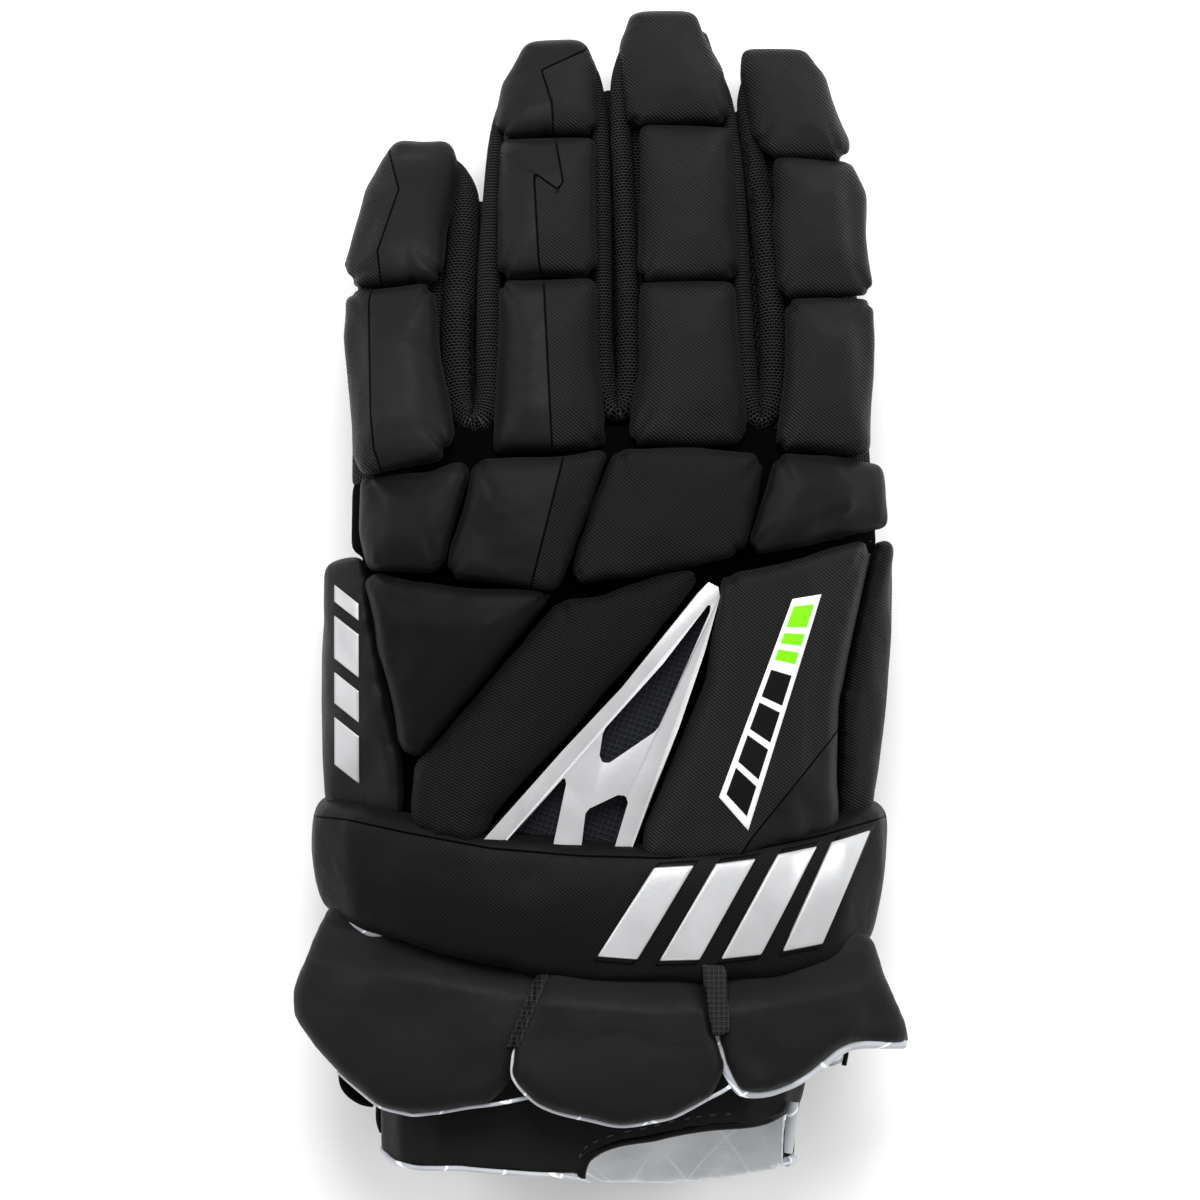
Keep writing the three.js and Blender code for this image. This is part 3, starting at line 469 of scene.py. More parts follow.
def new_material(name, **principled):
    """A material with a plain Principled BSDF, its graph and that shader's node."""
    material = bpy.data.materials.new(name)
    material.use_nodes = True
    graph = Graph(material.node_tree)
    shader = material.node_tree.nodes["Principled BSDF"]
    for key, value in principled.items():
        shader.inputs[key.replace("_", " ").title().replace("Ior", "IOR")].default_value = value
    return material, graph, shader


def rgba(colour, times=1.0):
    return tuple(min(1.0, c * times) for c in colour) + (1.0,)


def bump(g, shader, height, distance, strength=1.0, normal=None):
    inputs = {"Height": height, "Distance": distance, "Strength": strength}
    if normal is not None:
        inputs["Normal"] = normal
    node = g.add("ShaderNodeBump", inputs)
    g.links.new(node.outputs["Normal"], shader.inputs["Normal"])
    return node.outputs["Normal"]


def nylon_finish(name, angle, rib_depth=0.00017, tone_and_painted_light=1.0):
    """Woven nylon over foam: fine ribs beyond the seam, smooth cloth before it, and the seam itself."""
    pads = bpy.context.scene.glove_pads
    # The tone factor scales the cloth's colour, sheen and reflection; below 1 it paints shade onto a darker copy of the
    # same nylon.
    material, g, shader = new_material(name, sheen_weight=0.02 * tone_and_painted_light, sheen_roughness=0.45)
    shader.inputs["Sheen Tint"].default_value = (0.75, 0.78, 0.82, 1.0)
    place = g.add("ShaderNodeTexCoord").outputs["Object"]
    ribs = group_node(g, bpy.data.node_groups["rib_weave"], vector=place, angle=angle, spacing=pads.rib_spacing)
    folds = group_node(g, bpy.data.node_groups["cloth_folds"], vector=place, scale=55.0)
    distance = g.add("ShaderNodeAttribute", attribute_name="seam").outputs["Fac"]
    ribbed = g.smooth_step(distance, 0.1, 0.5)
    line = g.smooth_step(g.math("ABSOLUTE", distance), 0.12, 0.42, 1.0, 0.0)
    # Rib crests are painted up to 2.6 times lighter and grooves down to 0.3 times darker: painted highlight and painted
    # shade on the ribs.
    dark, light = rgba(pads.colour, 0.3 * tone_and_painted_light), rgba(pads.colour, 2.6 * tone_and_painted_light)
    plain = g.mix_colour(folds.outputs["Hills"], rgba(pads.colour, 0.85 * tone_and_painted_light), rgba(pads.colour, 1.15 * tone_and_painted_light))
    woven = g.mix_colour(g.math("POWER", ribs.outputs["Height"], 1.8), dark, light)
    cloth = g.mix_colour(ribbed, plain, woven)
    g.links.new(g.mix_colour(line, cloth, (0.0002, 0.0002, 0.0002, 1.0)), shader.inputs["Base Color"])
    g.links.new(g.math("MULTIPLY_ADD", line, -0.09 * tone_and_painted_light, 0.1 * tone_and_painted_light), shader.inputs["Specular IOR Level"])
    rough = g.math("MULTIPLY_ADD", folds.outputs["Grain"], 0.16, 0.46)
    g.links.new(rough, shader.inputs["Roughness"])
    height = g.math("MULTIPLY", ribs.outputs["Height"], ribbed)
    relief = g.math("SUBTRACT", height, g.math("MULTIPLY", line, 4.0))
    normal = bump(g, shader, relief, rib_depth)
    bump(g, shader, folds.outputs["Hills"], 0.0011, 0.75, normal)
    return material


def knit_finish():
    knit = bpy.context.scene.glove_knit
    material, g, shader = new_material("knit_mesh", specular_ior_level=0.05)
    place = g.add("ShaderNodeUVMap", uv_map="metric").outputs["UV"]
    cells = group_node(g, bpy.data.node_groups["knit_cells"], vector=place, cell=knit.cell)
    # Thread crowns are painted up to 4.2 times lighter and their flanks near black: painted glint and painted shade on
    # the threads.
    threads = g.mix_colour(g.math("POWER", cells.outputs["Height"], 3.0), rgba(knit.colour, 0.03), rgba(knit.colour, 4.2))
    g.links.new(g.mix_colour(cells.outputs["Hole"], threads, (0.0008, 0.0008, 0.0008, 1.0)), shader.inputs["Base Color"])
    shader.inputs["Roughness"].default_value = 0.55
    bump(g, shader, cells.outputs["Height"], 0.0006, 0.9)
    return material


def net_finish(name, turn, cell, thread):
    """A dark net with square holes, such as the vent's and the web tab's."""
    material, g, shader = new_material(name, roughness=0.55, specular_ior_level=0.2)
    place = g.add("ShaderNodeTexCoord").outputs["Object"]
    turned = g.add("ShaderNodeVectorRotate", {"Vector": place, "Angle": turn}, rotation_type="Z_AXIS")
    at = g.add("ShaderNodeSeparateXYZ", {0: turned.outputs[0]})
    lines = []
    for axis in ("X", "Y"):
        share = g.math("FRACT", g.math("DIVIDE", at.outputs[axis], cell))
        lines.append(g.smooth_step(g.math("ABSOLUTE", g.math("SUBTRACT", share, 0.5)), 0.24, 0.4))
    net = g.math("MAXIMUM", *lines)
    g.links.new(g.mix_colour(net, (0.0008, 0.0008, 0.001, 1.0), rgba(thread)), shader.inputs["Base Color"])
    bump(g, shader, net, 0.0005, 0.8)
    return material


def leather_finish():
    trim = bpy.context.scene.glove_trim
    material, g, shader = new_material("palm_grain", specular_ior_level=0.4)
    place = g.add("ShaderNodeTexCoord").outputs["Object"]
    cells = g.add("ShaderNodeTexVoronoi", {"Vector": place, "Scale": 900.0}, feature="DISTANCE_TO_EDGE")
    folds = group_node(g, bpy.data.node_groups["cloth_folds"], vector=place, scale=30.0)
    worn = g.mix_colour(folds.outputs["Hills"], rgba(trim.leather, 0.7), rgba(trim.leather, 1.5))
    g.links.new(worn, shader.inputs["Base Color"])
    g.links.new(g.math("MULTIPLY_ADD", folds.outputs["Grain"], 0.2, 0.45), shader.inputs["Roughness"])
    grain = g.smooth_step(cells.outputs["Distance"], 0.0, 0.25)
    normal = bump(g, shader, grain, 0.00012)
    bump(g, shader, folds.outputs["Hills"], 0.0012, 0.6, normal)
    return material


def lining_finish(name, tone_and_painted_light):
    """Grey satin lining with thin pale arcs that cross, in a plain repeating layout."""
    trim = bpy.context.scene.glove_trim
    material, g, shader = new_material(name, specular_ior_level=0.3)
    place = g.add("ShaderNodeTexCoord").outputs["Object"]
    arcs = None
    for centre, period in (((0.09, -0.21, 0.0), 0.0125), ((-0.06, -0.23, 0.0), 0.0165)):
        away = g.add("ShaderNodeVectorMath", {0: place, 1: centre}, operation="DISTANCE").outputs["Value"]
        ring = g.math("FRACT", g.math("DIVIDE", away, period))
        line = g.smooth_step(g.math("ABSOLUTE", g.math("SUBTRACT", ring, 0.5)), 0.014, 0.03, 1.0, 0.0)
        arcs = line if arcs is None else g.math("MAXIMUM", arcs, line)
    folds = group_node(g, bpy.data.node_groups["cloth_folds"], vector=place, scale=90.0)
    # The tone factor scales the lining's ground; the facing's threefold factor is painted light.
    ground = g.mix_colour(folds.outputs["Hills"], rgba(trim.lining, 0.75 * tone_and_painted_light), rgba(trim.lining, 1.25 * tone_and_painted_light))
    g.links.new(g.mix_colour(arcs, ground, rgba(trim.lining, 3.3)), shader.inputs["Base Color"])
    shader.inputs["Roughness"].default_value = 0.5
    bump(g, shader, folds.outputs["Grain"], 0.0002, 0.5)
    return material


def silver_finish(name, roughness=0.34, metallic=0.5):
    trim = bpy.context.scene.glove_trim
    material, g, shader = new_material(name, metallic=metallic)
    place = g.add("ShaderNodeTexCoord").outputs["Object"]
    folds = group_node(g, bpy.data.node_groups["cloth_folds"], vector=place, scale=70.0)
    g.links.new(g.mix_colour(folds.outputs["Hills"], rgba(trim.silver, 0.8), rgba(trim.silver, 1.25)),
                shader.inputs["Base Color"])
    g.links.new(g.math("MULTIPLY_ADD", folds.outputs["Grain"], 0.12, roughness), shader.inputs["Roughness"])
    bump(g, shader, folds.outputs["Grain"], 0.00005, 0.5)
    return material


def plain_finish(name, colour, roughness=0.6, specular=0.1):
    """A print or a thread: one colour with a little tooth."""
    material, g, shader = new_material(name)
    place = g.add("ShaderNodeTexCoord").outputs["Object"]
    folds = group_node(g, bpy.data.node_groups["cloth_folds"], vector=place, scale=120.0)
    g.links.new(g.mix_colour(folds.outputs["Hills"], rgba(colour, 0.85), rgba(colour, 1.1)), shader.inputs["Base Color"])
    shader.inputs["Roughness"].default_value = roughness
    bump(g, shader, folds.outputs["Grain"], 0.00006, 0.6)
    shader.inputs["Specular IOR Level"].default_value = specular
    return material


# What each pad's cover shows: its seam on the grid, and the side of the seam that is ribbed
PAD_COVERS = {
    "finger_pad_pinky_tip": ([(-39.6, 90.0), (-39.6, 88.0), (-37.7, 84.8), (-41.6, 79.4), (-40.4, 75.0)], -1),
    "finger_pad_pinky_base": ([(-41.6, 78.0), (-43.1, 75.2), (-42.6, 65.7), (-42.0, 62.6), (-39.5, 59.5)], -1),
    "finger_pad_ring_tip": ([(-2.0, 98.0), (-2.8, 96.8), (-11.0, 95.0), (-9.0, 92.1), (-8.4, 87.0)], 1),
    "finger_pad_ring_mid": ([(-9.0, 91.0), (-8.4, 89.2), (-6.9, 85.3), (-7.8, 84.6), (-12.1, 86.0), (-12.3, 85.8),
                             (-11.4, 78.5), (-10.4, 76.0)], 1),
    "finger_pad_ring_base": ([(-10.8, 79.0), (-10.5, 77.1), (-8.6, 60.0)], 1),
    "knuckle_pad_ring": ([(-5.6, 64.0), (-13.6, 49.5)], 1),
    "back_pad_wrist": ([(48.0, 42.5), (44.4, 39.1), (43.5, 38.6), (28.0, 29.9), (24.0, 27.0)], -1),
}
RIBBED_PADS = ("finger_pad_middle_tip", "finger_pad_middle_mid", "finger_pad_middle_base", "finger_pad_index_tip",
               "finger_pad_index_mid", "finger_pad_index_base", "knuckle_pad_middle", "back_pad_diagonal",
               "side_gusset_thumb")
STEEP_PADS = ("back_pad_diagonal", "back_pad_outer", "side_gusset_thumb")
# Creases where a cover is drawn in: from, to, depth and width
PAD_CREASES = {
    "finger_pad_pinky_tip": [(-28.5, 76.9, -33.6, 79.5, 1.6, 1.1), (-46.5, 77.2, -42.0, 78.6, 1.2, 1.2),
                             (-35.0, 76.5, -36.5, 79.4, 1.0, 1.4)],
    "finger_pad_pinky_base": [(-31.0, 76.6, -34.4, 75.0, 1.5, 1.2), (-46.6, 75.9, -43.5, 73.5, 1.0, 1.2),
                              (-28.0, 62.2, -31.8, 64.6, 1.4, 1.2)],
    "finger_pad_ring_tip": [(-18.6, 89.5, -15.5, 91.7, 1.2, 1.2), (-1.2, 89.8, -3.6, 91.2, 1.2, 1.2),
                            (-10.2, 89.2, -9.6, 91.6, 0.8, 1.5)],
    "finger_pad_ring_mid": [(-18.2, 77.4, -15.6, 80.4, 1.6, 1.2), (-1.1, 77.6, -3.8, 79.3, 1.2, 1.2)],
    "finger_pad_ring_base": [(-18.4, 76.6, -16.2, 75.0, 1.2, 1.1), (-0.6, 63.2, -3.2, 65.6, 1.3, 1.4)],
    "finger_pad_middle_tip": [(6.2, 90.5, 8.3, 92.2, 1.3, 1.1), (23.8, 90.7, 20.9, 92.6, 1.3, 1.2)],
    "finger_pad_middle_mid": [(7.6, 77.2, 9.9, 79.6, 1.5, 1.2), (25.4, 77.5, 22.3, 79.6, 1.4, 1.2)],
    "finger_pad_middle_base": [(5.8, 63.2, 9.2, 66.0, 1.3, 1.4), (27.0, 63.3, 23.6, 66.2, 1.3, 1.4)],
    "finger_pad_index_tip": [(29.6, 89.0, 32.6, 90.7, 1.3, 1.2), (45.6, 87.7, 43.0, 90.2, 1.3, 1.2)],
    "finger_pad_index_mid": [(34.0, 75.9, 36.6, 78.2, 1.5, 1.2), (50.4, 76.2, 47.2, 78.4, 1.4, 1.2)],
    "finger_pad_index_base": [(34.9, 75.0, 37.6, 73.6, 1.2, 1.2), (50.6, 75.0, 47.8, 73.3, 1.2, 1.2),
                              (33.4, 62.8, 36.8, 65.4, 1.3, 1.3)],
    "knuckle_pad_pinky": [(-30.0, 52.8, -32.5, 55.6, 1.2, 1.4), (-43.0, 59.8, -40.0, 57.8, 1.0, 1.2)],
    "knuckle_pad_ring": [(-22.4, 61.4, -20.2, 59.0, 1.2, 1.3), (-27.6, 52.2, -24.6, 54.4, 1.2, 1.3),
                         (-8.6, 51.4, -8.2, 54.2, 1.1, 1.3)],
    "knuckle_pad_middle": [(29.6, 61.6, 26.0, 59.6, 1.3, 1.4), (3.8, 62.2, 4.6, 59.6, 1.1, 1.4),
                           (-4.2, 51.8, -0.6, 53.8, 1.3, 1.3), (25.6, 54.0, 23.2, 56.2, 1.2, 1.3)],
    "knuckle_pad_index": [(33.2, 61.8, 35.4, 59.7, 1.2, 1.3), (28.2, 54.2, 31.8, 55.8, 1.2, 1.2)],
    "back_pad_outer": [(-42.8, 51.8, -38.4, 49.4, 1.2, 1.5), (-10.2, 50.1, -14.0, 48.4, 1.2, 1.3)],
    "back_pad_diagonal": [(-7.0, 49.4, -4.6, 46.8, 1.3, 1.5), (18.4, 52.0, 13.0, 49.8, 1.2, 1.3)],
    "back_pad_wrist": [(24.0, 51.8, 26.2, 47.4, 1.4, 1.6), (49.6, 54.2, 45.6, 50.4, 1.2, 1.6)],
}
PAD_NUDGES = {"side_guard_outer": [(-44.6, 51.4, 13, 1.2, 2.8)]}
PAD_NODES = sorted(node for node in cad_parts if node.startswith(("finger_pad", "knuckle_pad", "back_pad")))
GUARD_NODES = ("side_guard_outer", "side_gusset_thumb")
STRAPPED_PADS = ("back_pad_outer", "back_pad_diagonal", "back_pad_wrist", *GUARD_NODES)
SEAT_NODES = sorted(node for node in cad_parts
                    if node.startswith(("knit_", "back_liner", "palm_leather", "finger_leather")))


class GLOVE_OT_finishes(bpy.types.Operator):
    """Makes the shader groups and every finish that the pieces share"""

    bl_idname = "glove.finishes"
    bl_label = "Finishes"

    def execute(self, context):
        ribs_group()
        folds_group()
        knit_group()
        nylon_finish("nylon_ribbed", math.radians(-50))
        # The steep, knuckle and strap nylons are darker copies of the same cloth: their low tone factor is painted
        # shade.
        nylon_finish("nylon_steep_painted_shade", math.radians(-62), tone_and_painted_light=0.62)
        nylon_finish("nylon_knuckle_painted_shade", math.radians(-50), tone_and_painted_light=0.75)
        nylon_finish("nylon_strap_painted_shade", math.radians(-50), rib_depth=0.00003, tone_and_painted_light=0.62)
        knit_finish()
        net_finish("vent_net", 0.32, 0.0016, (0.007, 0.009, 0.015))
        net_finish("tab_weave", 0.0, 0.0014, (0.011, 0.011, 0.011))
        leather_finish()
        lining_finish("arc_lining", 0.8)
        # The facing inside the wrist's mouth lies in shade; its lining is brightened threefold as painted light.
        lining_finish("arc_lining_inner", 3.0)
        lining_finish("arc_lining_pale", 1.5)
        silver_finish("frame_satin")
        silver_finish("bar_foil", 0.3, 0.4)
        plain_finish("edge_black", (0.0016, 0.0016, 0.0017), 0.5)
        # The under cloth is black cloth made far darker than the nylon, with the shade of the valleys and corners where
        # it shows painted in.
        plain_finish("under_cloth_painted_shade", (0.0007, 0.0007, 0.0007), 0.9, 0.03)
        plain_finish("fold_cloth", (0.0032, 0.0032, 0.0033), 0.5, 0.12)
        plain_finish("badge_white", (0.7, 0.71, 0.71), 0.45)
        plain_finish("badge_green", tuple(context.scene.glove_trim.accent), 0.45)
        plain_finish("thread", (0.03, 0.03, 0.031), 0.45)
        return {"FINISHED"}


class GLOVE_OT_pads(bpy.types.Operator):
    """Swells the foam pads of the fingers, knuckles and back, and marks their seams and creases"""

    bl_idname = "glove.pads"
    bl_label = "Foam pads"

    def execute(self, context):
        settings = context.scene.glove_pads
        seat = surface_of(*SEAT_NODES)
        pads = []
        for node in [*PAD_NODES, *GUARD_NODES]:
            pad = copy_of("cover_" + node, node)
            remesh(pad, settings.voxel)
            soften(pad, 0.5, 2)
            apply(pad, "DISPLACE", strength=settings.fatten, mid_level=0.0)
            pads.append(pad)
        inflate(pads, seat, settings.swell, settings.pressure)
        for pad in pads:
            node = pad.name.removeprefix("cover_")
            subdivide(pad)
            soften(pad, 0.5, 3)
            if node in STRAPPED_PADS:
                tuck(pad)
            nudge(pad, PAD_NUDGES.get(node, []))
            press_lines(pad, PAD_CREASES.get(node, []))
            seam, side = PAD_COVERS.get(node, (None, 1 if node in RIBBED_PADS else -1))
            mark_seam(pad, seam, side)
            finish = "nylon_steep_painted_shade" if node in STEEP_PADS else "nylon_knuckle_painted_shade" if "knuckle" in node else "nylon_ribbed"
            finish_piece(pad, bpy.data.materials[finish], [node])
        return {"FINISHED"}


# Knit rolls along the sides of two neighbouring fingers, down to the crotch and up again, and the knit gusset between.
# Each stop is across, along, half width in millimetres and the finger that it lies against.
KNIT_ROLLS = {
    "knit_roll_outer": [(-28.6, 87.5, 1.4, "pinky"), (-26.8, 86.4, 2.8, "pinky"), (-25.4, 84.2, 4.2, "pinky"),
                        (-25.6, 80.5, 4.9, "pinky"), (-26.4, 75.5, 5.2, "pinky"), (-26.5, 70.6, 5.2, "pinky"),
                        (-25.5, 66.4, 4.7, "pinky"), (-23.1, 64.9, 4.2, "ring"), (-20.9, 66.7, 4.0, "ring"),
                        (-20.7, 72.0, 4.0, "ring"), (-20.7, 78.0, 3.6, "ring"), (-20.2, 83.5, 3.0, "ring"),
                        (-19.7, 87.8, 2.5, "ring"), (-19.1, 90.6, 1.8, "ring"), (-18.2, 92.6, 1.0, "ring")],
    "knit_roll_middle": [(-2.6, 96.2, 1.0, "ring"), (-1.1, 94.4, 2.0, "ring"), (-0.1, 90.6, 2.7, "ring"),
                         (0.4, 84.0, 2.9, "ring"), (0.5, 77.5, 2.9, "ring"), (0.6, 71.5, 3.0, "ring"),
                         (1.3, 67.4, 3.5, "ring"), (3.3, 65.9, 3.8, "middle"), (5.2, 67.6, 3.7, "middle"),
                         (5.3, 73.6, 3.5, "middle"), (4.9, 79.5, 3.4, "middle"), (4.4, 85.4, 3.4, "middle"),
                         (3.8, 91.0, 3.1, "middle"), (3.7, 94.6, 2.4, "middle"), (5.0, 97.6, 1.0, "middle")],
    "knit_roll_inner": [(22.6, 94.6, 1.0, "middle"), (24.0, 92.2, 1.7, "middle"), (25.2, 87.6, 2.3, "middle"),
                        (26.2, 81.5, 2.5, "middle"), (26.8, 75.0, 2.7, "middle"), (27.4, 69.6, 3.2, "middle"),
                        (28.1, 66.6, 3.6, "middle"), (29.9, 65.2, 3.9, "index"), (31.9, 67.1, 4.0, "index"),
                        (32.3, 73.0, 4.2, "index"), (31.4, 79.0, 4.3, "index"), (29.8, 84.8, 4.0, "index"),
                        (28.2, 89.4, 3.2, "index"), (27.2, 92.6, 2.2, "index"), (28.2, 95.4, 1.0, "index")],
}
KNIT_GUSSETS = {
    "knit_gusset_outer": [(-23.6, 60.5, 4.0, "ring"), (-23.6, 70.0, 4.5, "ring"), (-23.2, 78.0, 5.5, "ring"),
                          (-22.6, 82.0, 4.0, "ring"), (-22.6, 83.8, 1.5, "ring")],
    "knit_gusset_middle": [(2.9, 60.5, 4.0, "ring"), (3.0, 70.0, 4.0, "middle"), (2.7, 80.0, 4.0, "middle"),
                           (2.0, 88.0, 4.2, "middle"), (1.6, 93.4, 1.5, "middle")],
    "knit_gusset_inner": [(29.0, 60.5, 4.0, "middle"), (29.4, 70.0, 4.0, "index"), (28.8, 78.0, 4.6, "index"),
                          (27.0, 86.0, 4.4, "index"), (25.8, 91.6, 1.5, "index")],
}
# Cloth folds drawn in below each crotch: across, along and half width in millimetres of each stop
CROTCH_FOLDS = {
    "fold_outer": [(-23.2, 63.6, 3.0), (-23.8, 62.2, 4.0), (-24.2, 60.6, 3.8), (-24.4, 59.4, 2.0)],
    "fold_middle": [(3.4, 64.6, 2.4), (3.0, 63.0, 3.0), (2.6, 61.6, 2.8), (2.2, 60.4, 1.6)],
    "fold_inner": [(30.0, 64.0, 2.8), (30.4, 62.6, 3.4), (31.2, 61.2, 3.0), (31.8, 60.0, 1.6)],
}
FINGER_TIPS = {"pinky": 87.8, "ring": 96.2, "middle": 98.8, "index": 95.6}
FINGER_ROOT = 54.0
ROLL_RAISE = 12.5 * MM  # how far a knit roll's middle lies above the finger's own
FOLD_HEIGHT = 55.5 * MM
SKIN_OVERLAP = 2.2 * MM  # how far a finger's skin reaches back under the one behind it


def skin(piece, voxel, root=None):
    """Softens a skin without thinning it. Its end behind a place along the glove reaches back under its neighbour."""
    remesh(piece, voxel)
    soften(piece, 0.5, 5)
    apply(piece, "DISPLACE", strength=0.0004, mid_level=0.0)
    if root is None:
        return
    for vertex in piece.data.vertices:
        if vertex.co.y < grid(0, root).y:
            vertex.co.y -= SKIN_OVERLAP


def finger_middle(along, finger):
    """Height of a finger's middle line: it falls from the knuckles to the floor as the finger bends."""
    share = max(0.0, (along - FINGER_ROOT) / (FINGER_TIPS[finger] - FINGER_ROOT))
    return (48.2 + (13.0 - 48.2) * min(1.0, share) ** 1.7) * MM


def smooth_path(points, count):
    """Points on a smooth curve through the given ones, evenly spread over the spans between them."""
    out = []
    for i in range(len(points) - 1):
        a, b = points[i], points[i + 1]
        before = points[i - 1] if i else a
        after = points[i + 2] if i + 2 < len(points) else b
        for k in range(count):
            t = k / count
            out.append(0.5 * (2 * a + (b - before) * t + (2 * before - 5 * a + 4 * b - after) * t * t
                              + (3 * a - before - 3 * b + after) * t ** 3))
    return [*out, points[-1]]


def rope(name, path, radii, sides=3):
    """A round rope along a path, made from a curve. Its UVs run round it and along it in its own size."""
    bpy.ops.object.select_all(action="DESELECT")
    bpy.ops.curve.primitive_nurbs_path_add(location=(0, 0, 0))
    curve = bpy.context.object
    curve.name = name
    curve.data.splines.clear()
    spline = curve.data.splines.new("POLY")
    spline.points.add(len(path) - 1)
    for point, place, radius in zip(spline.points, path, radii):
        point.co = (*place, 1.0)
        point.radius = radius / MM
    curve.data.bevel_depth = MM
    curve.data.bevel_resolution = sides
    curve.data.use_fill_caps = True
    curve.data.twist_mode = "Z_UP"
    bpy.ops.object.convert(target="MESH")
    piece = bpy.context.object
    subdivide(piece)
    starts = [0.0]
    for a, b in zip(path, path[1:]):
        starts.append(starts[-1] + (b - a).length)
    spots = []
    for vertex in piece.data.vertices:
        nearest = min(range(len(path)), key=lambda i: (path[i] - vertex.co).length_squared)
        a, b = path[max(nearest - 1, 0)], path[min(nearest + 1, len(path) - 1)]
        course = (b - a).normalized()
        out = vertex.co - path[nearest]
        side = course.cross(Vector((0, 0, 1))).normalized()
        angle = math.atan2(out.dot(side), out.dot(side.cross(course)))
        spots.append((angle * max(radii) * 0.8, starts[nearest] + out.dot(course), max(radii) * 0.8 * math.tau))
    layer = piece.data.uv_layers.new(name="metric")
    for face in piece.data.polygons:
        first = spots[face.vertices[0]][0]
        for loop in face.loop_indices:
            u, v, turn = spots[piece.data.loops[loop].vertex_index]
            layer.data[loop].uv = (u + turn * round((first - u) / turn), v)
    return piece


def rope_through(name, stops, height_at, count=6, sides=3):
    """A rope through stops on the grid, each with its half width in millimetres and, after it, what sets its height."""
    corners = []
    for across, along, half, *rest in stops:
        place = grid(across, along)
        corners.append(Vector((place.x, place.y, height_at(across, along, *rest), half * MM)))
    path = smooth_path(corners, count)
    return rope(name, [point.xyz for point in path], [point.w for point in path], sides)


def metric_uv(piece):
    """Lays the piece's own sizes out as UVs, each face from the side that it looks at most."""
    layer = piece.data.uv_layers.new(name="metric")
    piece.data.uv_layers.active = layer
    for face in piece.data.polygons:
        sizes = [abs(face.normal.x), abs(face.normal.y), abs(face.normal.z)]
        side = sizes.index(max(sizes))
        first, second = ((1, 2), (0, 2), (0, 1))[side]
        for loop in face.loop_indices:
            co = piece.data.vertices[piece.data.loops[loop].vertex_index].co
            layer.data[loop].uv = (co[first], co[second])


class GLOVE_OT_knit(bpy.types.Operator):
    """Knits the fingers' tops and sides, and rolls the knit down into the crotch between each two fingers"""

    bl_idname = "glove.knit"
    bl_label = "Knit fingers"

    def execute(self, context):
        material = bpy.data.materials["knit_mesh"]
        for finger in FINGER_TIPS:
            piece = copy_of("finger_knit_" + finger, "knit_" + finger)
            skin(piece, 0.0014, 61.5)
            metric_uv(piece)
            finish_piece(piece, material, ["knit_" + finger])
        for name, stops in KNIT_ROLLS.items():
            piece = rope_through(name, stops, lambda across, along, finger: finger_middle(along, finger) + ROLL_RAISE)
            finish_piece(piece, material)
        for name, stops in KNIT_GUSSETS.items():
            piece = rope_through(name, stops, lambda across, along, finger: finger_middle(along, finger))
            finish_piece(piece, material)
        for name, stops in CROTCH_FOLDS.items():
            piece = rope_through(name, stops, lambda across, along: FOLD_HEIGHT)
            finish_piece(piece, bpy.data.materials["fold_cloth"])
        # The back liner shows in the valleys between pads; its near-black finish paints their shade.
        back = copy_of("back_cloth", "back_liner")
        skin(back, 0.0016)
        finish_piece(back, bpy.data.materials["under_cloth_painted_shade"], ["back_liner"])
        return {"FINISHED"}


class GLOVE_OT_palm(bpy.types.Operator):
    """Covers the palm, the fingers' undersides and the thumb with leather, and pads the thumb and the wrist's underside"""

    bl_idname = "glove.palm"
    bl_label = "Leather palm"

    def execute(self, context):
        material = bpy.data.materials["palm_grain"]
        for node in ["palm_leather", "thumb_sleeve", *("finger_leather_" + finger for finger in FINGER_TIPS)]:
            piece = copy_of("skin_" + node, node)
            skin(piece, 0.0015, {"palm_leather": None, "thumb_sleeve": 41.5}.get(node, 61.5))
            finish_piece(piece, material, [node])
        seat = surface_of("palm_leather", "thumb_sleeve", "wrist_liner")
        settings = context.scene.glove_pads
        pads = []
        for node in ("palm_panel", "thumb_pad_base", "thumb_pad_mid", "thumb_pad_tip"):
            pad = copy_of("cover_" + node, node)
            remesh(pad, settings.voxel)
            soften(pad, 0.5, 5)
            pads.append(pad)
        inflate(pads, seat, 0.0004, settings.pressure)
        for pad in pads:
            subdivide(pad)
            for vertex in pad.data.vertices:
                vertex.co.z = max(vertex.co.z, 0.0001)
            mark_seam(pad, None, -1)
            finish_piece(pad, bpy.data.materials["nylon_ribbed"], [pad.name.removeprefix("cover_")])
        return {"FINISHED"}


STRAP_SEAM = [(-54, 31.6), (-47, 31.4), (-36, 30.4), (-20, 29.1), (-4, 28.5), (12, 28.3), (26, 28.8), (40, 30.0), (54, 31.6)]


def grown(corners, by):
    """Four corners moved out from their middle, by a distance on the grid across and half of it along."""
    middle = [sum(corner[k] for corner in corners) / 4 for k in (0, 1)]
    return [(x + math.copysign(by, x - middle[0]), y + math.copysign(by / 2, y - middle[1])) for x, y in corners]


def printed_patch(name, corners, under, lift, finish, thickness=0.0004, bevel=None, cells=(10, 22)):
    """A print between four corners on the grid, draped over a piece."""
    bpy.ops.object.select_all(action="DESELECT")
    bpy.ops.mesh.primitive_grid_add(x_subdivisions=cells[0], y_subdivisions=cells[1], size=2, location=(0, 0, 0))
    patch = bpy.context.object
    patch.name = name
    low_left, low_right, high_right, high_left = (grid(*corner) for corner in corners)
    level = 0.05
    for vertex in patch.data.vertices:
        u, v = vertex.co.x / 2 + 0.5, vertex.co.y / 2 + 0.5
        place = low_left.lerp(low_right, u).lerp(high_left.lerp(high_right, u), v)
        level = height_over(under, place.x, place.y, level)
        vertex.co = (place.x, place.y, level + lift)
    apply(patch, "SOLIDIFY", thickness=thickness, offset=-1.0)
    if bevel is not None:
        apply(patch, "BEVEL", width=bevel, segments=2, limit_method="ANGLE", angle_limit=0.9)
    finish_piece(patch, bpy.data.materials[finish])
    return patch


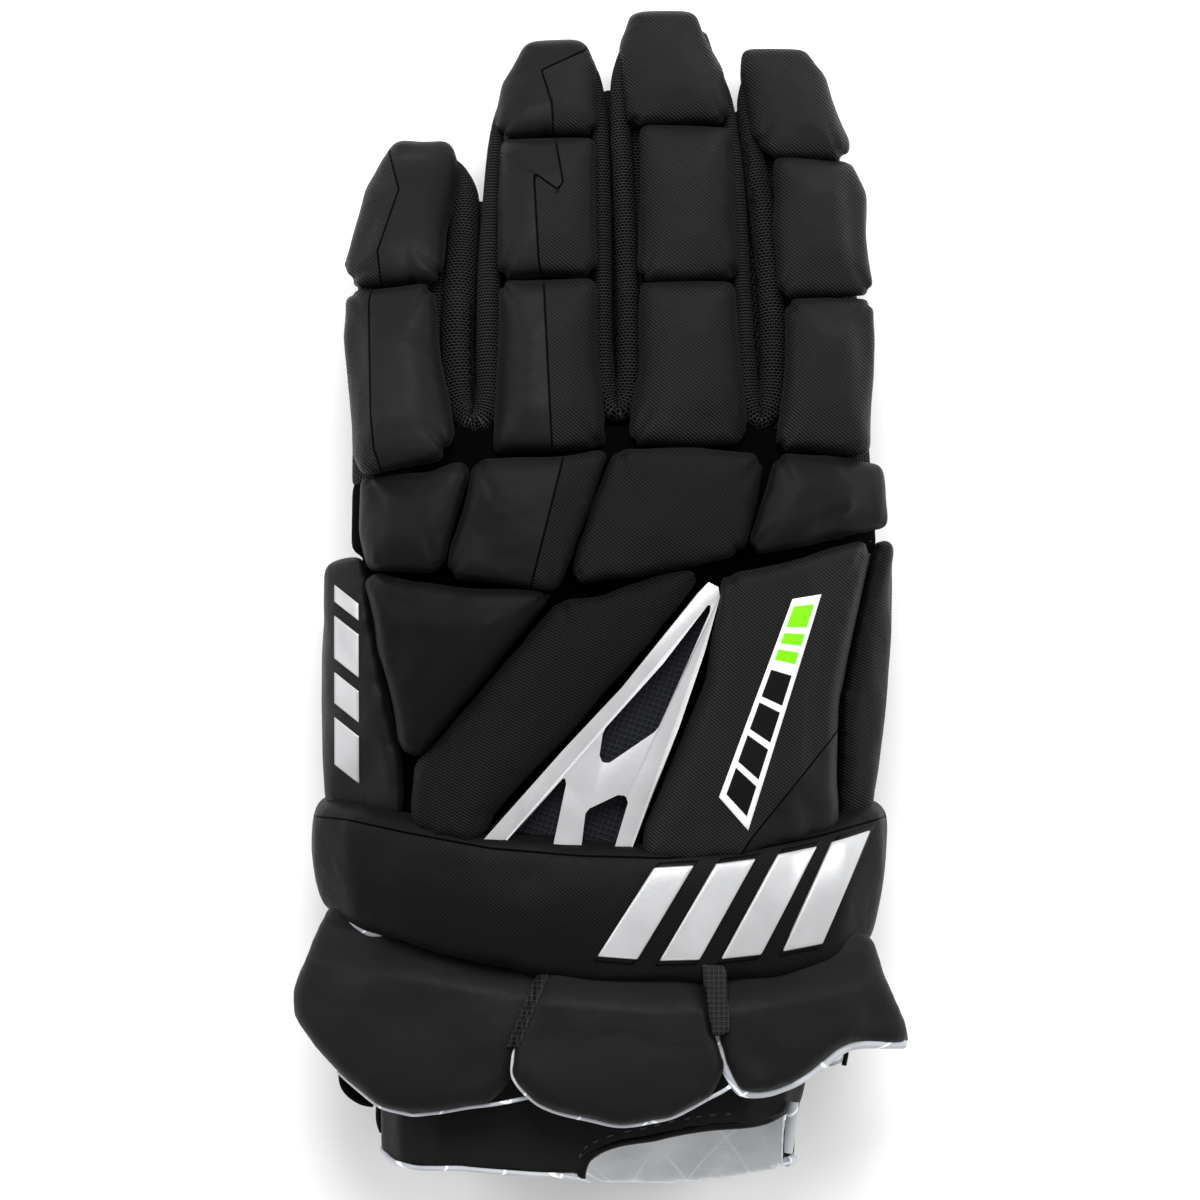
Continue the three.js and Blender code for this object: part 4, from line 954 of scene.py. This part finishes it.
class GLOVE_OT_strap(bpy.types.Operator):
    """Pads the wrist strap and lays its silver bars on it, each on a dark sheet that paints the shade of the channel
    round it
    """

    bl_idname = "glove.strap"
    bl_label = "Wrist strap"

    def execute(self, context):
        settings = context.scene.glove_pads
        strap = copy_of("strap_cover", "wrist_strap")
        remesh(strap, 0.0022)
        soften(strap, 0.5, 8)
        apply(strap, "DISPLACE", strength=0.0006, mid_level=0.0)
        inflate([strap], surface_of("palm_leather", "back_liner"), 0.0012, settings.pressure)
        subdivide(strap)
        soften(strap, 0.5, 2)
        mark_seam(strap, STRAP_SEAM, -1)
        finish_piece(strap, bpy.data.materials["nylon_strap_painted_shade"], ["wrist_strap"])
        under = surface_of(strap)
        for number, (foot, head) in enumerate(EMBLEM_BARS, 1):
            corners = [on_strap(foot, EMBLEM_LOW), on_strap(foot + EMBLEM_WIDTH, EMBLEM_LOW),
                       on_strap(head + EMBLEM_WIDTH, EMBLEM_HIGH), on_strap(head, EMBLEM_HIGH)]
            # Each bar sits on a slightly larger dark sheet: painted shade of the channel round the bar.
            printed_patch(f"emblem_channel_painted_shade_{number}", grown(corners, 0.8), under, 0.0003, "edge_black", 0.0008)
            bar = printed_patch(f"emblem_bar_{number}", corners, under, 0.0011, "bar_foil", 0.0014, bevel=0.0005)
            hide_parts(f"strap_bar_{number}")
        return {"FINISHED"}


class GLOVE_OT_vent(bpy.types.Operator):
    """Moulds the silver vent frame and sets the net behind its windows"""

    bl_idname = "glove.vent"
    bl_label = "Vent"

    def execute(self, context):
        piece = copy_of("moulded_frame", "vent_frame")
        edit(piece, lambda: bpy.ops.mesh.dissolve_limited(angle_limit=0.02))
        for vertex in piece.data.vertices:
            if vertex.co.y < grid(0, 31.5).y:
                vertex.co.y -= 0.0025
        apply(piece, "BEVEL", width=0.0011, segments=3, limit_method="ANGLE", angle_limit=0.6)
        finish_piece(piece, bpy.data.materials["frame_satin"], ["vent_frame"])
        bpy.ops.object.shade_smooth_by_angle(angle=0.7)
        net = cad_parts["vent_mesh"]
        net.data.materials.clear()
        net.data.materials.append(bpy.data.materials["vent_net"])
        return {"FINISHED"}


PANEL_NUDGES = {"outer": [(-49.5, 10.6, 16, 0.8, -1.8)], "thumb": [(47.0, 12.0, 16, 0.0, 1.4)]}
LINER_NUDGES = [(40.0, 4.5, 24, -2.2, 0.0)]
SCOOP_NUDGES = [(0.0, 2.0, 18, -3.0, 2.4), (17.0, 5.0, 26, 0.0, 3.0)]
# How far the liner's mouth is drawn up the glove, in millimetres at places across it
MOUTH_DRAW = [(-80, 1.0), (-41, 1.4), (-26, 4.2), (-8, 4.6), (-3, 3.4), (0.5, 1.0), (30, 0.5), (36, -0.6), (80, -0.6)]
# Pale piping round the cuff panels' outlines: a place within the panel, the angles from and to, the half width in
# millimetres at the start, the middle and the end, and places on the grid that it runs on to
PANEL_PIPING = {
    "outer": ((-36.0, 15.0), 222.0, 312.0, (0.4, 0.7, 0.6), [(-18.0, 7.5), (-13.6, 8.2)]),
    "middle": ((1.0, 14.5), 187.0, 328.0, (0.5, 0.75, 0.6), [(22.2, 8.4), (24.0, 9.2)]),
    "thumb": ((33.5, 16.5), 208.0, 339.0, (1.9, 1.1, 1.6), []),
}
# The pale sliver of lining on the cuff panels: across, along and half width in millimetres of each stop
LINING_SLIVER = [(-47.6, 23.4, 0.6), (-45.2, 22.6, 1.5), (-42.4, 21.9, 1.5), (-39.8, 21.8, 0.6)]
# Parts of the palm's side that show beyond the cuff panels: stops and finish
PALM_EDGES = {
    "palm_flap": ([(43.0, 12.4, 3.2), (43.6, 11.3, 3.4), (44.3, 10.4, 2.0)], "arc_lining_pale"),
    "palm_flap_edge": ([(46.2, 13.2, 0.8), (46.3, 11.6, 0.8), (45.8, 10.3, 0.8)], "edge_black"),
    # The palm corner takes the near-black under cloth: painted shade where it shows.
    "palm_corner": ([(-46.8, 11.4, 3.4), (-46.7, 9.0, 3.9), (-44.8, 7.7, 2.7), (-42.3, 7.2, 1.8)], "under_cloth_painted_shade"),
    "liner_corner": ([(-41.4, 7.8, 0.9), (-41.6, 5.8, 0.9), (-41.0, 4.6, 0.7)], "edge_black"),
}
PALM_EDGE_HEIGHT = 38 * MM
MOUTH_SIDE = [(36.4, 3.2, 1.4), (36.8, 4.6, 1.8), (37.0, 6.0, 1.9), (37.2, 7.4, 1.6)]
WRIST_HALF = Vector((58.8 * MM, 29.6 * MM))  # half width and half height of the wrist's section
WRIST_MIDDLE = Vector((grid(-1.8, 0).x, 36.4 * MM))
WRIST_SQUARENESS = 2.7
MOUTH = [(-60, 4.4), (-41.3, 3.2), (-39, 1.9), (-34, 1.1), (-22, 0.5), (-8, 0), (14, 0), (24, 0.5), (32, 1.3), (36, 2.4), (60, 4.6)]
SCOOP_EDGE = [(-1.9, -0.4), (-1.2, 0.9), (0.4, 2.2), (4.7, 3.4), (11.0, 3.9), (18.7, 4.4), (29.9, 5.5), (36.8, 6.9)]
STITCH_LENGTH = 2.0 * MM


def wrist_top(across):
    """Height of the wrist liner's upper side."""
    share = min(1.0, abs(grid(across, 0).x - WRIST_MIDDLE.x) / WRIST_HALF.x)
    return WRIST_MIDDLE.y + WRIST_HALF.y * (1 - share ** WRIST_SQUARENESS) ** (1 / WRIST_SQUARENESS)


def mouth_stops(first, last, count, half):
    """Stops round the wrist liner's mouth, between two angles from its top."""
    path = []
    for i in range(count + 1):
        angle = math.radians(first + (last - first) * i / count)
        bend = [math.copysign(abs(w) ** (2 / WRIST_SQUARENESS), w) for w in (math.sin(angle), math.cos(angle))]
        x = WRIST_MIDDLE.x + WRIST_HALF.x * bend[0]
        across = (x - grid(0, 0).x) / HAND_WIDTH * 100
        a, b = next((a, b) for a, b in zip(MOUTH, MOUTH[1:]) if across <= b[0])
        along = a[1] + (b[1] - a[1]) * (across - a[0]) / (b[0] - a[0])
        path.append((across, along, half, WRIST_MIDDLE.y + WRIST_HALF.y * bend[1]))
    return path


class GLOVE_OT_cuff(bpy.types.Operator):
    """Pads the flared cuff panels, lines them, and closes the wrist with its liner, facing, piping and stitches"""

    bl_idname = "glove.cuff"
    bl_label = "Cuff"

    def panels(self, settings):
        pads = []
        for side in ("middle", "thumb", "outer"):
            panel = copy_of("cover_cuff_" + side, "cuff_panel_" + side)
            remesh(panel, settings.voxel)
            soften(panel, 0.5, 5)
            apply(panel, "DISPLACE", strength=settings.fatten, mid_level=0.0)
            pads.append(panel)
        seat = surface_of(*("cuff_lining_" + side for side in ("middle", "thumb", "outer")))
        inflate(pads, seat, settings.swell, settings.pressure)
        for panel in pads:
            subdivide(panel)
            soften(panel, 0.5, 3)
            side = panel.name.removeprefix("cover_cuff_")
            tuck(panel)
            nudge(panel, PANEL_NUDGES.get(side, []))
            mark_seam(panel, None, -1)
            finish_piece(panel, bpy.data.materials["nylon_ribbed"], ["cuff_panel_" + side])
            lining = copy_of("lining_" + side, "cuff_lining_" + side)
            remesh(lining, 0.0009)
            soften(lining, 0.5, 8)
            nudge(lining, PANEL_NUDGES.get(side, []))
            finish_piece(lining, bpy.data.materials["arc_lining"], ["cuff_lining_" + side])

    def trim(self):
        covers = {side: bpy.data.objects["cover_cuff_" + side] for side in PANEL_PIPING}
        panels = surface_of(*covers.values())
        for side, (middle, first, last, halves, further) in PANEL_PIPING.items():
            spots = outline_stops(covers[side], *middle, first, last)
            spots += [Vector((*grid(*place), spots[-1].z)) for place in further]
            for _ in range(2):
                spots = [spots[0], *((a + 2 * b + c) / 4 for a, b, c in zip(spots, spots[1:], spots[2:])), spots[-1]]
            radii = []
            for i in range(len(spots)):
                share = 2 * i / (len(spots) - 1)
                radii.append((halves[0] + (halves[1] - halves[0]) * share if share < 1
                              else halves[1] + (halves[2] - halves[1]) * (share - 1)) * MM)
            centre = Vector((*grid(*middle), 0.0))
            spots = [spot + ((spot - centre).xy.normalized() * radius * 0.5).to_3d() for spot, radius in zip(spots, radii)]
            piece = rope("piping_" + side, spots, radii, 2)
            finish_piece(piece, bpy.data.materials["arc_lining_pale"])

        def height(across, along):
            place = grid(across, along)
            near = panels.find_nearest(Vector((place.x, place.y, 0.08)))[0]
            return height_over(panels, place.x, place.y, near.z)

        sliver = rope_through("lining_sliver", LINING_SLIVER, height, count=5, sides=2)
        finish_piece(sliver, bpy.data.materials["arc_lining_pale"])
        tab = copy_of("webbing_tab", "web_tab")
        remesh(tab, 0.0008)
        soften(tab, 0.5, 4)
        finish_piece(tab, bpy.data.materials["tab_weave"], ["web_tab"])
        printed_patch("knit_strip", [(-17.2, 12.4), (-15.4, 12.4), (-9.6, 18.6), (-11.9, 18.6)], panels, 0.0009, "tab_weave",
                      0.003)

    def wrist(self):
        liner = copy_of("liner_tube", "wrist_liner")
        remesh(liner, 0.0013)
        soften(liner, 0.5, 4)
        apply(liner, "DISPLACE", strength=0.0004, mid_level=0.0)
        draw_mouth(liner, SCOOP_NUDGES)
        mark_seam(liner, None, -1)
        finish_piece(liner, bpy.data.materials["nylon_ribbed"], ["wrist_liner"])
        facing = copy_of("liner_facing", "wrist_facing")
        edit(facing, lambda: bpy.ops.mesh.bisect(plane_co=(0, 0, 0.045), plane_no=(0, 0, 1), use_fill=True, clear_outer=True))
        remesh(facing, 0.0007)
        soften(facing, 0.5, 4)
        draw_mouth(facing)
        # The facing's brightened lining is painted light in the shaded mouth.
        finish_piece(facing, bpy.data.materials["arc_lining_inner"], ["wrist_facing"])
        for name, first, last, half in (("mouth_piping", -175, 0, 0.8), ("mouth_edge", 72, 178, 1.5)):
            piping = rope_through(name, mouth_stops(first, last, 24, half), lambda across, along, level: level, count=2, sides=2)
            draw_mouth(piping)
            finish_piece(piping, bpy.data.materials["arc_lining_pale"])
        side = rope_through("mouth_side", MOUTH_SIDE, lambda across, along: wrist_top(34.0), sides=2)
        draw_mouth(side)
        finish_piece(side, bpy.data.materials["arc_lining_pale"])
        for name, (stops, finish) in PALM_EDGES.items():
            piece = rope_through(name, stops, lambda across, along: PALM_EDGE_HEIGHT, sides=2)
            finish_piece(piece, bpy.data.materials[finish])
        stops = [(across, along, 1.3) for across, along in SCOOP_EDGE]
        binding = rope_through("scoop_binding", stops, lambda across, along: wrist_top(across) - 0.0006, count=6, sides=2)
        draw_mouth(binding, SCOOP_NUDGES)
        finish_piece(binding, bpy.data.materials["edge_black"])
        self.stitches()

    def stitches(self):
        corners = [Vector((*grid(across - 0.4, along + 1.05), wrist_top(across - 0.4) + 0.0006)) for across, along in SCOOP_EDGE]
        path = smooth_path(corners, 8)
        bpy.ops.mesh.primitive_uv_sphere_add(segments=10, ring_count=6, radius=1.0, location=(0, 0, 0))
        stitch = bpy.context.object
        stitch.name = "stitches"
        shape = [vertex.co.copy() for vertex in stitch.data.vertices]
        faces = [list(face.vertices) for face in stitch.data.polygons]
        points, polygons, walked = [], [], 0.0
        for a, b in zip(path, path[1:]):
            walked += (b - a).length
            if walked < STITCH_LENGTH * 1.7:
                continue
            walked = 0.0
            course = (b - a).normalized()
            side = course.cross(Vector((0, 0, 1))).normalized()
            start = len(points)
            points += [b + course * co.x * STITCH_LENGTH / 2 + side * co.y * 0.0005 + Vector((0, 0, co.z * 0.0005)) for co in shape]
            polygons += [[start + i for i in face] for face in faces]
        stitch.data.clear_geometry()
        stitch.data.from_pydata(points, [], polygons)
        draw_mouth(stitch, SCOOP_NUDGES)
        finish_piece(stitch, bpy.data.materials["thread"])

    def execute(self, context):
        self.panels(context.scene.glove_pads)
        self.trim()
        self.wrist()
        return {"FINISHED"}


# The badge: a slanted run of blocks on a pale ground. Each block starts and ends at a share of the badge's length.
BADGE_FOOT = [(22.0, 33.4), (27.4, 30.6)]
BADGE_HEAD = [(35.6, 50.0), (41.0, 50.4)]
BADGE_BLOCKS = [(0.04, 0.17, "edge_black"), (0.20, 0.33, "edge_black"), (0.36, 0.49, "edge_black"), (0.52, 0.65, "edge_black"),
                (0.70, 0.75, "badge_green"), (0.78, 0.83, "badge_green"), (0.86, 0.96, "badge_green")]
BADGE_BORDER = 0.15
GUARD_BARS = [(34.4, 38.4), (39.6, 42.2), (43.4, 47.0), (48.2, 49.6)]
GUARD_BAR_SIDES = (-49.6, -45.0)
GUARD_BAR_SLANT = 1.6


def badge_corners(start, end, border):
    """Corners on the grid of a stretch of the badge, as shares of its length, with a border left at each side."""
    def at(u, v):
        return tuple((1 - v) * ((1 - u) * a + u * b) + v * ((1 - u) * c + u * d)
                     for a, b, c, d in zip(*BADGE_FOOT, *BADGE_HEAD))
    return [at(border, start), at(1 - border, start), at(1 - border, end), at(border, end)]


class GLOVE_OT_prints(bpy.types.Operator):
    """Prints the badge on the wrist pad and the bars on the side guard"""

    bl_idname = "glove.prints"
    bl_label = "Prints"

    def execute(self, context):
        pad = surface_of(bpy.data.objects["cover_back_pad_wrist"])
        printed_patch("badge_ground", badge_corners(0.0, 1.0, 0.0), pad, 0.0003, "badge_white", cells=(8, 60))
        for number, (start, end, finish) in enumerate(BADGE_BLOCKS, 1):
            printed_patch(f"badge_block_{number}", badge_corners(start, end, BADGE_BORDER), pad, 0.00045, finish)
        guard = surface_of(bpy.data.objects["cover_side_guard_outer"])
        left, right = GUARD_BAR_SIDES
        for number, (low, high) in enumerate(GUARD_BARS, 1):
            corners = [(left, low + GUARD_BAR_SLANT), (right, low), (right, high), (left, high + GUARD_BAR_SLANT)]
            printed_patch(f"guard_bar_{number}", corners, guard, 0.0004, "bar_foil")
        return {"FINISHED"}


# The soft lights: name, place, size and power
STUDIO_LIGHTS = (("overhead", (0.0, 0.9, 1.3), 0.9, 24.0), ("left_soft", (-1.3, 0.6, 0.8), 0.8, 10.0),
                 ("right_soft", (1.2, 0.4, 0.7), 0.8, 9.0), ("front_soft", (0.1, -1.4, 0.8), 0.8, 3.0))


class GLOVE_OT_stage(bpy.types.Operator):
    """Sets out the floor, the studio lights and the camera over the back of the hand"""

    bl_idname = "glove.stage"
    bl_label = "Stage"

    def execute(self, context):
        settings = context.scene.glove_stage
        bpy.ops.object.select_all(action="DESELECT")
        bpy.ops.mesh.primitive_plane_add(size=6, location=(0, 0, 0))
        floor = context.object
        floor.name = "floor"
        material, g, shader = new_material("floor_paper", roughness=0.9)
        noise = g.add("ShaderNodeTexNoise", {"Vector": g.add("ShaderNodeTexCoord").outputs["Object"], "Scale": 40.0})
        g.links.new(g.mix_colour(noise.outputs["Fac"], (0.92, 0.92, 0.92, 1.0), (0.95, 0.95, 0.95, 1.0)),
                    shader.inputs["Base Color"])
        floor.data.materials.append(material)
        for name, place, size, power in STUDIO_LIGHTS:
            bpy.ops.object.light_add(type="AREA", location=place)
            light = context.object
            light.name = name
            light.data.shape = "DISK"
            light.data.size = size
            light.data.energy = power
            light.rotation_euler = (-Vector(place)).to_track_quat("-Z", "Y").to_euler()
        world = bpy.data.worlds.new("studio")
        world.use_nodes = True
        world.node_tree.nodes["Background"].inputs["Color"].default_value = (1.0, 1.0, 1.0, 1.0)
        world.node_tree.nodes["Background"].inputs["Strength"].default_value = 0.65
        context.scene.world = world
        context.scene.view_settings.view_transform = "Standard"
        bpy.ops.object.camera_add(location=(0, 0, 1), rotation=(0, 0, 0))
        camera = context.object
        camera.data.lens = settings.lens
        camera.data.sensor_width = 36.0
        away = settings.view_width * settings.lens / camera.data.sensor_width
        centre = grid(0, 50)
        camera.location = (centre.x, grid(0, (1190 - 600) / 11.82).y, settings.view_height + away)
        camera.data.clip_end = 20.0
        context.scene.camera = camera
        return {"FINISHED"}


class GLOVE_PT_panel(bpy.types.Panel):
    """Lists the glove's pieces in the order in which they are made"""

    bl_idname = "GLOVE_PT_panel"
    bl_label = "Padded glove"
    bl_space_type = "VIEW_3D"
    bl_region_type = "UI"
    bl_category = "Glove"

    def draw(self, context):
        for group in SETTINGS:
            for name in group.__annotations__:
                self.layout.prop(getattr(context.scene, SETTINGS[group]), name)
        for operator in OPERATORS:
            self.layout.operator(operator.bl_idname)


SETTINGS = {PadSettings: "glove_pads", KnitSettings: "glove_knit", TrimSettings: "glove_trim", StageSettings: "glove_stage"}
OPERATORS = (GLOVE_OT_finishes, GLOVE_OT_pads, GLOVE_OT_knit, GLOVE_OT_palm, GLOVE_OT_strap, GLOVE_OT_vent,
             GLOVE_OT_cuff, GLOVE_OT_prints, GLOVE_OT_stage)


def register():
    for group, name in SETTINGS.items():
        bpy.utils.register_class(group)
        setattr(bpy.types.Scene, name, PointerProperty(type=group))
    for operator in OPERATORS:
        bpy.utils.register_class(operator)
    bpy.utils.register_class(GLOVE_PT_panel)


def unregister():
    bpy.utils.unregister_class(GLOVE_PT_panel)
    for operator in reversed(OPERATORS):
        bpy.utils.unregister_class(operator)
    for group, name in SETTINGS.items():
        delattr(bpy.types.Scene, name)
        bpy.utils.unregister_class(group)


def main():
    register()
    for operator in OPERATORS:
        area, name = operator.bl_idname.split(".")
        getattr(getattr(bpy.ops, area), name)()


if __name__ == "__main__":
    main()
